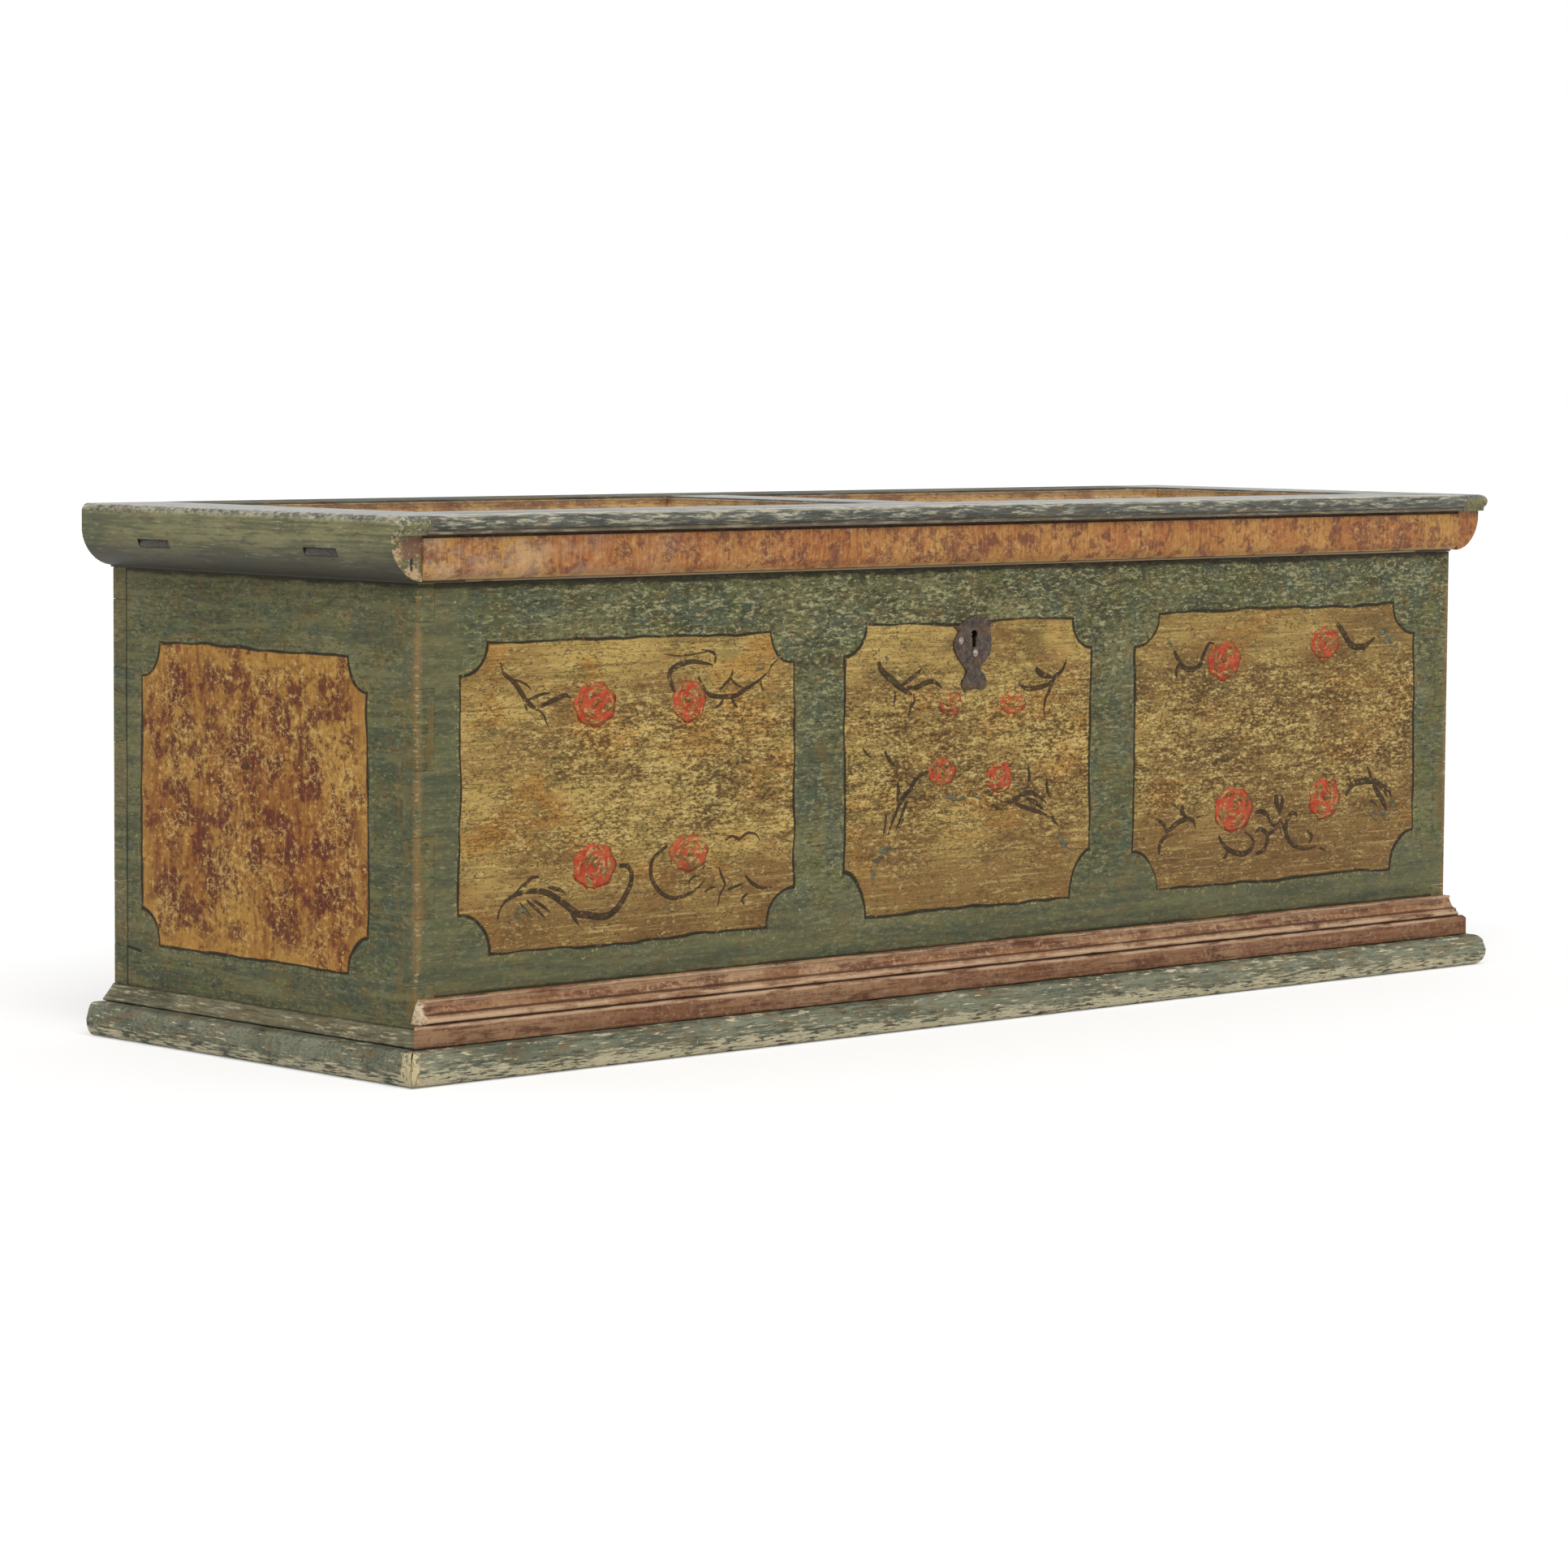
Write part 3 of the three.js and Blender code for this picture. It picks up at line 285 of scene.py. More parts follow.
def bareWood(place, along=0):
    rings = place.clouds(grained(along, 700, 22), 4, 5, 0.6, 0.3)
    fibres = place.clouds(grained(along, 110, 1.6), 4, 8, 0.65)
    grime = place.clouds((160, 120, 90), 4, 21, 0.6)
    knots = place.clouds(grained(along, 60, 34), 1, 61)
    colour = layered(
        rings.step(0.4, 0.62).mix(bareWoodTones["light"], bareWoodTones["dark"]),
        (fibres.step(0.5, 0.68) * 0.5, bareWoodTones["line"]),
        (fibres.step(0.46, 0.32) * 0.25, bareWoodTones["light"]),
        (grime.step(0.48, 0.66) * 0.55, bareWoodTones["grey"]),
        (grime.step(0.44, 0.3) * 0.5, bareWoodTones["dirt"]),
        (knots.step(0.765, 0.8) * 0.85, bareWoodTones["knot"]),
    )
    return colour, fibres


# Stretches of the front in mm: what happens there starts at the first value and is full at the second
frontZones = {
    "roughLeft": (-846, -560), "roughHigh": (300, 470), "roughFrom": (-360, -250), "roughTo": (260, 190),
    "lowGreen": (240, 110), "calmFoot": (190, 120), "calmCorner": (-765, -805),
    "busyFrom": (170, 270), "busyTo": (450, 360), "busyAcross": (-760, -560),
    "lowOchre": (250, 150), "dullOchre": (120, 420),
    "chippedFrom": (500, 515), "chippedTo": (529, 518), "chippedAcross": (150, 420),
    "cornerTop": (496, 480),
}
# grime: dark brown for dirt, cracks and joints, and for painted shade under the lid and in crevices
greenTones = tones(
    light=(122, 118, 82), dark=(82, 86, 60), low=(76, 82, 64), brown=(122, 98, 56), cool=(78, 92, 82),
    pale=(160, 154, 108), deep=(48, 48, 32), crack=(186, 172, 128), moss=(108, 114, 66),
    tan=(146, 114, 72), fleck=(172, 166, 124), grime=(34, 27, 18),
)


# the chest's green: brushed along the grain, rubbed brown in patches, gritty with dark and pale
def greenGround(place):
    x, _, z = place.parts()
    broad = place.clouds((200, 200, 100), 4, 4, 0.6)
    strokes = place.clouds((64, 52, 12), 4, 9, 0.7)
    bristles = place.clouds((34, 30, 2.4), 3, 93, 0.6)
    mottle = place.clouds((40, 40, 26), 5, 19, 0.7)
    grit = place.clouds((10, 9, 4.6), 4, 41, 0.75)
    crowd = place.clouds((60, 60, 44), 4, 85, 0.6) - 0.5
    flecks = place.clouds((9, 8, 3.2), 3, 47, 0.72) + crowd * 0.3
    rough = x.step(*frontZones["roughLeft"]) * z.step(*frontZones["roughHigh"])
    rough = rough + x.step(*frontZones["roughFrom"]) * x.step(*frontZones["roughTo"]) * 0.3
    colour = layered(
        (broad * 0.55 + strokes * 0.45).step(0.4, 0.6).mix(greenTones["dark"], greenTones["light"]),
        (z.step(*frontZones["lowGreen"]) * 0.5, greenTones["low"]),
        (place.clouds((60, 60, 80), 4, 27, 0.65).step(0.51, 0.62) * 0.45, greenTones["cool"]),
        (mottle.step(0.52, 0.6) * 0.55, greenTones["brown"]),
        (place.clouds((34, 34, 26), 4, 67, 0.65).step(0.53, 0.62) * 0.5, greenTones["moss"]),
        (place.clouds((90, 70, 30), 5, 39, 0.7).step(0.52, 0.62) * (rough * 0.3 + 0.2), greenTones["deep"]),
        (strokes.step(0.5, 0.62) * 0.4, greenTones["deep"]),
        (bristles.step(0.52, 0.66) * 0.3, greenTones["deep"]),
        (bristles.step(0.46, 0.34) * 0.2, greenTones["pale"]),
        ((grit - crowd * 0.2).step(0.54, 0.66) * (rough * 0.2 + 0.3), greenTones["pale"]),
        ((flecks + rough * 0.02).step(0.55, 0.65) * (rough * 0.35 + 0.4), greenTones["fleck"]),
        ((grit - rough * 0.025).step(0.455, 0.37) * 0.7, greenTones["deep"]),
    )
    return colour, grit * 0.6 + bristles * 0.4


ochreTones = tones(
    light=(190, 160, 92), dark=(146, 114, 64), gold=(180, 128, 58), green=(116, 106, 62),
    low=(116, 84, 50), speck=(62, 44, 26), pale=(216, 192, 124), streak=(102, 76, 42),
)


# the front's fields: brushed along the grain, with dark and pale specks, most of them half way up
def ochreGround(place):
    x, _, z = place.parts()
    broad = place.clouds((150, 60, 60), 4, 2, 0.6)
    strokes = place.clouds((110, 40, 3), 4, 6, 0.68)
    crowd = place.clouds((80, 60, 44), 3, 12) - 0.5
    busy = z.step(*frontZones["busyFrom"]) * z.step(*frontZones["busyTo"])
    busy = busy * (x.step(*frontZones["busyAcross"]) * 0.6 + 0.4)
    specks = place.clouds((7.5, 6, 3.4), 3, 57, 0.68) * 0.65 + place.clouds((30, 20, 9), 3, 63) * 0.35
    cracked = (specks + crowd * 0.2 + busy * 0.05).step(0.49, 0.54)
    lines = place.lines((16, 12, 5), 0.045, 33, 3) * cracked
    paleSpecks = (specks + crowd * 0.08 + busy * 0.015).step(0.535, 0.6)
    darkSpecks = (specks - crowd * 0.1 - busy * 0.025).step(0.455, 0.4)
    colour = layered(
        broad.step(0.38, 0.62).mix(ochreTones["dark"], ochreTones["light"]),
        (place.clouds((110, 60, 60), 3, 31).step(0.53, 0.66) * 0.6, ochreTones["gold"]),
        (place.clouds((70, 60, 40), 4, 77, 0.65).step(0.53, 0.66) * 0.55, ochreTones["green"]),
        (z.step(*frontZones["lowOchre"]) * 0.7, ochreTones["low"]),
        (x.step(*frontZones["dullOchre"]) * 0.35, ochreTones["low"]),
        (strokes.step(0.51, 0.66) * 0.55, ochreTones["streak"]),
        (strokes.step(0.46, 0.32) * 0.4, ochreTones["pale"]),
        (paleSpecks * (busy * 0.35 + 0.4), ochreTones["pale"]),
        (lines * 0.75, ochreTones["speck"]),
        (darkSpecks * (busy * 0.35 + 0.45), ochreTones["speck"]),
    )
    return colour, specks * 0.6 + strokes * 0.4


outline = {
    "half": 1.0, "soft": 1.3, "colour": paint(40, 34, 24), "uneven": 3.4,
    "wander": 5.0, "wanderSize": (150, 150, 150), "shake": 2.2, "shakeSize": (34, 34, 34), "scuff": 14,
}
# The painted fields: corners scooped by so much across and down, at the top and at the foot
frontFields = [
    {"middle": (-545.5, 298.5), "half": (244.5, 167.5), "upper": (38, 36), "lower": (42, 42)},
    {"middle": (-18, 299.5), "half": (204, 167.5), "upper": (34, 35), "lower": (35, 54)},
    {"middle": (523.5, 299.5), "half": (261.5, 168.5), "upper": (43, 38), "lower": (43, 48)},
]
endField = {"middle": (28.5, 279), "half": (203.5, 171), "upper": (33, 38), "lower": (34, 40)}


# how far a place is outside a field with scooped corners, less than 0 inside it
def fieldReach(across, height, field):
    u = (across - field["middle"][0]).size() - field["half"][0]
    rise = height - field["middle"][1]
    w = rise.size() - field["half"][1]
    low = rise.step(1, -1)
    corner = [low * (field["lower"][i] - field["upper"][i]) + field["upper"][i] for i in range(2)]
    reach = ((u / corner[0]).math("POWER", 2) + (w / corner[1]).math("POWER", 2)).math("SQRT")
    return u.most(w).most((1 - reach) * sum(field["upper"]) * 0.5)


def handDrawn(place, across, height):
    moved = []
    for part, shift in ((across, 3), (height, 17)):
        slow = place.clouds(outline["wanderSize"], 1, shift) - 0.5
        quick = place.clouds(outline["shakeSize"], 0, shift + 40) - 0.5
        moved.append(part + slow * 2 * outline["wander"] + quick * 2 * outline["shake"])
    return moved


def outlined(place, reach, ground, field):
    thin = place.clouds((50, 50, 50), 1, 88) - 0.5
    line = reach.size() + thin * outline["uneven"]
    line = line.step(outline["half"] + outline["soft"], outline["half"])
    worn = place.clouds((9, 9, 6), 4, 29, 0.7).step(0.34, 0.44) * 0.35 + 0.6
    beside = (reach - 1).step(outline["scuff"], 0) * (reach + 1).step(0, 1)
    scuff = beside * place.clouds((5, 5, 4), 4, 47, 0.75).step(0.56, 0.66)
    return layered(
        ground,
        (scuff * 0.6, ochreTones["pale"]),
        (reach.step(0.9, -0.9), field),
        (line * worn, outline["colour"]),
    )


# tan wood showing along the front's upright corners, and pale nicks across them
def wornCorner(place, colour):
    x, y, z = place.parts()
    distance = (bodyEnd - x.size()).most(y - frontFace)
    wear = distance.step(10, 2) * z.step(*frontZones["cornerTop"])
    wear = wear * place.clouds((20, 20, 60), 4, 51, 0.7).step(0.4, 0.54)
    nicks = (place.clouds((14, 14, 2.6), 3, 77, 0.7) - distance * 0.012).step(0.52, 0.6)
    return layered(colour, (wear * 0.65, greenTones["tan"]), (nicks * 0.6, greenTones["crack"]))


# a dark line at one height, thick mm wide: dirt gathered in a joint, and painted shade in crevices and
# under overhangs
def jointDirtAndShade(place, height, joint, thick):
    uneven = (place.clouds((40, 40, 8), 3, 54) - 0.5) * thick * 1.6
    return ((height - joint).size() + uneven).step(thick, thick * 0.4)


def frontPaint(place):
    x, y, z = place.parts()
    green, greenHeight = greenGround(place)
    calm = z.step(*frontZones["calmFoot"]).most(x.step(*frontZones["calmCorner"]))
    streaks = place.clouds((150, 20, 12), 4, 23, 0.6).step(0.32, 0.68)
    green = (calm * 0.5).mix(green, streaks.mix(greenTones["low"], greenTones["light"]))
    ochre, ochreHeight = ochreGround(place)
    across, height = handDrawn(place, x, z)
    reaches = [fieldReach(across, height, field) for field in frontFields]
    reach = reaches[0].least(reaches[1]).least(reaches[2])
    chipped = z.step(*frontZones["chippedFrom"]) * z.step(*frontZones["chippedTo"])
    chips = place.clouds((9, 9, 5), 4, 58, 0.7) + chipped * x.step(*frontZones["chippedAcross"]) * 0.09
    colour = layered(
        outlined(place, reach, wornCorner(place, green), ochre),
        (chips.step(0.655, 0.69) * 0.75, greenTones["crack"]),
        # painted shadow under the lid's overhang, along the top of the board
        (jointDirtAndShade(place, z, rim, 9) * 0.8, greenTones["grime"]),
        # painted shade, with dirt, in the crevice above the plinth band
        (jointDirtAndShade(place, z, bandTop, 3.5) * 0.7, greenTones["grime"]),
    )
    wood, fibres = bareWood(place)
    cut = y.step(frontFace + 0.5, frontFace + 1.4) * x.size().step(bodyEnd - 0.5, bodyEnd - 1.2)
    top = z.step(rim - 0.8, rim - 0.3) * y.step(frontFace + 1, frontFace + 2)
    inside = y.step(frontInner - 0.7, frontInner - 0.3).most(top)
    field = reach.step(0.9, -0.9)
    relief = greenHeight * (1 - field) + ochreHeight * field
    colour = layered(colour, (cut, greenTones["grime"]), (inside, wood))
    return colour, place.clouds((60, 60, 40), 2, 80) * 0.2 + 0.6, relief + fibres * inside


marbles = {
    "end": {
        "blotch": (30, 30, 26), "smear": (10, 10, 42), "share": 0.462,
        "deepShare": 0.7, "creamShare": 0.75, "crackle": 0.5,
        **tones(
            light=(184, 138, 68), middle=(152, 98, 48), dark=(98, 44, 34), cream=(216, 184, 112),
            deep=(62, 40, 28),
        ),
    },
    "lid": {
        "blotch": (26, 26, 22), "smear": (4, 4, 30), "share": 0.485,
        "deepShare": 0.5, "creamShare": 0.5, "crackle": 0.3,
        **tones(
            light=(192, 140, 70), middle=(170, 104, 50), dark=(112, 58, 36), cream=(208, 170, 108),
            deep=(80, 50, 32),
        ),
    },
    "band": {
        "blotch": (60, 60, 9), "smear": (110, 110, 3), "share": 0.5,
        "deepShare": 0.5, "creamShare": 0.5, "crackle": 0.2,
        **tones(
            light=(176, 140, 104), middle=(146, 102, 70), dark=(98, 60, 42), cream=(206, 176, 144),
            deep=(72, 48, 34),
        ),
    },
}


# orange ground dabbed with red-brown, gritty, and cream where it has crackled
def marbledPaint(place, s):
    dabs = place.clouds(s["blotch"], 6, 11, 0.7)
    smears = place.clouds(s["smear"], 4, 23, 0.65)
    grit = place.clouds((8, 8, 7), 4, 37, 0.78)
    crowd = place.clouds((70, 70, 60), 3, 45) - 0.5
    crackled = (crowd * 1.6 + place.clouds((8, 8, 7), 3, 87, 0.65)).step(0.52, 0.6)
    lines = place.lines((12, 12, 9), 0.034, 67, 3) * crackled
    colour = layered(
        place.clouds((110, 110, 110), 4, 31, 0.6).step(0.38, 0.6).mix(s["light"], s["middle"]),
        ((dabs + crowd * 0.12).step(s["share"], s["share"] + 0.09) * 0.85, s["dark"]),
        (smears.step(0.5, 0.62) * 0.5, s["dark"]),
        (smears.step(0.46, 0.35) * 0.55, s["light"]),
        (grit.step(0.46, 0.36) * s["deepShare"], s["deep"]),
        ((grit + crowd * 0.12).step(0.54, 0.64) * s["creamShare"], s["cream"]),
        (lines * s["crackle"], s["cream"]),
    )
    return colour, dabs * 0.4 + grit * 0.6


# Marks on the ends: a knot at (y, z), and a crack in front of the back board
endKnot = {"place": (40, 320), "half": (9, 4)}
endCrack = {"fromBack": 14, "height": 102, "half": 12, "slope": 0.12, "thick": 1.2}


def endPaint(place):
    x, y, z = place.parts()
    green, greenHeight = greenGround(place)
    marble, marbleHeight = marbledPaint(place, marbles["end"])
    streaks = place.clouds((20, 150, 9), 4, 23, 0.6)
    green = layered(
        green,
        (streaks.step(0.5, 0.62) * 0.55, greenTones["light"]),
        (streaks.step(0.47, 0.37) * 0.5, greenTones["low"]),
    )
    across, height = handDrawn(place, y, z)
    reach = fieldReach(across, height, endField)
    margin = reach.step(-32, -3) * place.clouds((30, 30, 26), 4, 91, 0.65).step(0.38, 0.54)
    marble = (margin * 0.6).mix(marble, marbles["end"]["light"])
    squares = [
        ((part - middle) / half).math("POWER", 2)
        for part, middle, half in zip((y, z), endKnot["place"], endKnot["half"])
    ]
    marble = ((squares[0] + squares[1]).step(1.3, 0.6) * 0.8).mix(marble, marbles["end"]["deep"])
    rub = (y - frontFace).step(60, 12) * place.clouds((10, 10, 46), 4, 52, 0.7).step(0.5, 0.6)
    within = (y - backInner + endCrack["fromBack"]).size().step(endCrack["half"] + 3, endCrack["half"])
    rise = (z - endCrack["height"]) + (backInner - y) * endCrack["slope"]
    crack = within * rise.size().step(2 * endCrack["thick"], endCrack["thick"])
    colour = layered(
        outlined(place, reach, wornCorner(place, green), marble),
        (rub * 0.6, greenTones["brown"]),
        ((y - backInner + 1).size().step(2.2, 0.8) * 0.8, greenTones["grime"]),
        (crack * 0.9, greenTones["grime"]),
        # painted shadow under the lid's overhang, along the top of the end
        (jointDirtAndShade(place, z, rim, 7) * 0.75, greenTones["grime"]),
    )
    wood, fibres = bareWood(place, 1)
    behind = y.step(frontFace + 0.8, frontFace + 1.6)
    joints = y.step(frontInner + 0.5, frontInner - 0.5).most(y.step(backInner - 0.5, backInner + 0.5))
    below = z.step(rim - 0.3, rim - 0.8) * y.step(backFace - 0.4, backFace - 1)
    cut = x.size().step(bodyEnd - 0.6, bodyEnd - 1.4) * behind * joints * below
    top = z.step(rim - 0.8, rim - 0.3) * x.size().step(bodyEnd - 1, bodyEnd - 2)
    rear = y.step(backFace - 0.7, backFace - 0.2)
    inside = (x.size().step(bodyEnd - 23, bodyEnd - 23.6) * behind).most(top).most(rear)
    field = reach.step(0.9, -0.9)
    relief = greenHeight * (1 - field) + marbleHeight * field
    colour = layered(colour, (cut, greenTones["grime"]), (inside, wood))
    return colour, place.clouds((60, 60, 40), 2, 80) * 0.2 + 0.6, relief + fibres * inside


backSeams = (196, 371)  # heights of the glued joints between the back's wide boards


# the back was never painted, but green has run round its ends
def backPaint(place):
    x, _, z = place.parts()
    wood, fibres = bareWood(place)
    green, _ = greenGround(place)
    atEnd = x.size().step(bodyEnd - 0.9, bodyEnd - 0.3)
    seams = jointDirtAndShade(place, z, backSeams[0], 1.3).most(jointDirtAndShade(place, z, backSeams[1], 1.3))
    colour = layered(wood, (seams * 0.7, bareWoodTones["knot"]), (atEnd * 0.85, green))
    return colour, fibres * 0.2 + 0.6, fibres - seams


# slot: near black for the slits and the horn's crack, and for painted shade in grooves and under overhangs
lidTones = tones(
    side=(130, 126, 84), sideDark=(82, 84, 52), top=(96, 98, 88), topDark=(62, 64, 58),
    cream=(206, 198, 168), brown=(116, 94, 58), panel=(122, 124, 98), panelDark=(88, 92, 72),
    bead=(190, 148, 92), beadDark=(138, 96, 56), beadLine=(84, 58, 38), deep=(40, 38, 28),
    slot=(34, 27, 19), tenon=(70, 58, 42), endGrain=(124, 82, 64), hornCream=(196, 160, 118),
)


# 1 on the underside of the lid, which was never painted
def underLid(z):
    return z.step(lidTop - 20, lidTop - 24)


# the lid's paint: brushed, gritty, and worn through to brown and cream in flecks that follow the grain
def lidPaint(place, light, dark, along, wear):
    grain = place.clouds(grained(along, 120, 4), 4, 6, 0.7)
    patches = place.clouds(grained(along, 110, 46), 4, 46, 0.65)
    flecks = place.clouds(grained(along, 28, 3.8), 5, 26, 0.74)
    crowd = place.clouds((110, 110, 60), 3, 36) - 0.5
    colour = layered(
        (patches * 0.5 + grain * 0.5).step(0.42, 0.58).mix(dark, light),
        (place.clouds(grained(along, 44, 20), 4, 56, 0.65).step(0.54, 0.66) * 0.5, lidTones["brown"]),
        (flecks.step(0.46, 0.36) * 0.6, lidTones["deep"]),
        ((flecks + crowd * 0.16 + wear).step(0.57, 0.71) * 0.75, lidTones["cream"]),
    )
    return colour, grain * 0.4 + flecks * 0.6


tenonReach = -0.885  # only the ends of the left panel's tenons lie beyond this x, in metres
tenonEnds = [vertex.co / mm for vertex in nodes["lid_left_panel"].data.vertices if vertex.co.x < tenonReach]
tenonY = sorted({round(end.y, 1) for end in tenonEnds})
tenonZ = sorted({round(end.z, 1) for end in tenonEnds})


def middleAndHalf(low, high):
    return (low + high) / 2, (high - low) / 2


# where the ends of the panels' tenons show in the stiles' edges
tenonSlots = [middleAndHalf(*tenonY[:2]), middleAndHalf(*tenonY[2:4])]
tenonSlotZ = middleAndHalf(*tenonZ[:2])
hornCrack = {"x": -867, "wander": 8, "half": 1.2, "foot": (544, 548), "top": (561, 558)}
bareHorn = {"outwards": (-884, -877), "upwards": (556, 561)}


def stilePaint(place):
    x, y, z = place.parts()
    side, height = lidPaint(place, lidTones["side"], lidTones["sideDark"], 1, 0.0)
    top, _ = lidPaint(place, lidTones["top"], lidTones["topDark"], 1, 0.05)
    marble, _ = marbledPaint(place, marbles["lid"])
    wood, _ = bareWood(place, 1)
    grit = place.clouds((8, 8, 6), 5, 64, 0.75)
    fromFront = y - noseLow.y
    left = x.step(-bodyEnd + 10, -bodyEnd - 6)
    horn = fromFront.step(17.5, 16) * z.step(noseLow.z - 0.4, noseLow.z - 1.2)
    bare = (grit + fromFront.step(30, 6) * left * 0.15).step(0.68, 0.74)
    arris = z.step(lidTop - 11, lidTop - 4) * grit.step(0.44, 0.58)
    arris = arris * x.size().step(bodyEnd + 26, bodyEnd + 36)
    along = [(y - middle).size() - half for middle, half in tenonSlots]
    slot = along[0].least(along[1]).most((z - tenonSlotZ[0]).size() - tenonSlotZ[1])
    crack = (x - hornCrack["x"] + (grit - 0.5) * hornCrack["wander"]).size()
    crack = crack.step(hornCrack["half"] + 1, hornCrack["half"])
    crack = crack * z.step(*hornCrack["top"]) * z.step(*hornCrack["foot"])
    bareEnd = x.step(*bareHorn["outwards"]) * z.step(*bareHorn["upwards"])
    under = z.step(railLow.z + 0.5, railLow.z + 0.1) * x.size().step(bodyEnd + 2, bodyEnd - 2)
    inner = x.size().step(-stileHigh.x + 3, -stileHigh.x + 1.5) * underLid(z)
    rubbed = (grit * 0.6 + place.clouds((16, 16, 16), 3, 35) * 0.4).step(0.47, 0.55)
    endGrain = layered(
        side,
        (rubbed, lidTones["hornCream"]),
        (bareEnd, grit.step(0.42, 0.6).mix(lidTones["endGrain"], lidTones["brown"])),
    )
    colour = layered(
        side,
        # painted shade: the side darkens towards its foot, where its rounded lower edge turns under
        (z.step(railLow.z + 48, railLow.z + 4) * 0.9, lidTones["deep"]),
        (z.step(lidTop - 8, lidTop - 3), top),
        (arris * 0.5, lidTones["cream"]),
        # painted shade in and around the slits where the panels' tenons come through
        ((slot + grit * 4).step(3.6, 2.2), lidTones["slot"]),
        (horn, left.mix(marble, endGrain)),
        (bare * z.step(lidTop - 1, lidTop - 3) * 0.6, lidTones["cream"]),
        (horn * left * crack, lidTones["slot"]),
        # painted shade along the foot of the side
        (z.step(railLow.z + 3, railLow.z + 1.6) * 0.8, lidTones["slot"]),
        (under.most(inner), wood),
    )
    return colour, z.step(lidTop - 2, lidTop - 0.5) * -0.3 + height * 0.1 + 0.55, height


def framePaint(place, along=0):
    _, _, z = place.parts()
    top, height = lidPaint(place, lidTones["top"], lidTones["topDark"], along, 0.04)
    wood, _ = bareWood(place, along)
    return underLid(z).mix(top, wood), height * 0.15 + 0.22, height


# the back rail has lost some of its blue and was never painted behind
def backRailPaint(place):
    _, y, z = place.parts()
    top, height = lidPaint(place, lidTones["top"], lidTones["topDark"], 0, 0.02)
    worn = place.clouds((120, 60, 40), 4, 31, 0.7).step(0.46, 0.64)
    wood, _ = bareWood(place)
    bare = underLid(z).most(y.step(backFace - 0.9, backFace - 0.4))
    return layered(top, (worn * 0.75, lidTones["brown"]), (bare, wood)), height * 0.2 + 0.6, height


def nosingPaint(place):
    _, _, z = place.parts()
    colour, height = lidPaint(place, lidTones["top"], lidTones["topDark"], 0, 0.07)
    # painted shade in the quirk below the nose, and a painted shadow along the nosing's foot
    quirkAndFootShade = jointDirtAndShade(place, z, noseLow.z + 4.5, 1.2).most(z.step(noseLow.z + 1.2, noseLow.z + 0.2))
    colour = layered(
        colour,
        (z.step(noseLow.z + 4.6, noseLow.z + 3.8) * 0.5, lidTones["brown"]),
        (quirkAndFootShade * 0.75, lidTones["slot"]),
        (z.step(lidTop - 3.5, lidTop - 1.5) * height.step(0.42, 0.54) * 0.5, lidTones["cream"]),
    )
    return colour, z.step(lidTop - 2, lidTop - 0.5) * -0.3 + height * 0.1 + 0.52, height


def lidPanelPaint(place):
    x, _, z = place.parts()
    top, height = lidPaint(place, lidTones["panel"], lidTones["panelDark"], 0, 0.02)
    wood, _ = bareWood(place)
    grit = place.clouds((7, 7, 3), 4, 64, 0.75)
    # the tenon ends: bare end grain, painted darker in patches as shade inside the stiles' slits
    tenon = grit.step(0.44, 0.6).mix(lidTones["slot"], lidTones["tenon"])
    colour = layered(top, (underLid(z), wood), (x.size().step(bodyEnd, bodyEnd + 10), tenon))
    return colour, height * 0.2 + 0.34, height


def beadPaint(place):
    _, _, z = place.parts()
    grain = place.clouds((14, 14, 2.6), 4, 6, 0.7)
    grit = place.clouds((6, 6, 4), 4, 44, 0.75)
    colour = layered(
        place.clouds((70, 70, 30), 4, 13, 0.65).step(0.4, 0.6).mix(lidTones["bead"], lidTones["beadDark"]),
        (grain.step(0.5, 0.62) * 0.6, lidTones["beadLine"]),
        (grit.step(0.55, 0.66) * 0.5, lidTones["cream"]),
        (z.step(lidTop - 2.2, lidTop - 3.4) * z.step(lidTop - 6, lidTop - 4.6) * 0.5, lidTones["beadLine"]),
    )
    return colour, grain * 0.2 + 0.4, grain


def frontMouldPaint(place):
    x, _, z = place.parts()
    colour, height = marbledPaint(place, marbles["lid"])
    rubbed = z.step(railLow.z + 7, railLow.z + 4) * place.clouds((30, 30, 8), 4, 61, 0.65).step(0.4, 0.52)
    pale = x.step(-350, -800) * place.clouds((60, 60, 30), 4, 39, 0.65).step(0.4, 0.6)
    colour = layered(
        colour,
        (pale * 0.4, marbles["band"]["cream"]),
        (rubbed * 0.6, marbles["lid"]["cream"]),
        # painted shade along the moulding's foot, and a painted shadow under the nosing along its top
        (z.step(railLow.z + 3.6, railLow.z + 2.4) * 0.8, lidTones["slot"]),
        (z.step(noseLow.z - 4.6, noseLow.z - 2.8) * 0.7, lidTones["slot"]),
    )
    return colour, height * 0.2 + 0.5, height


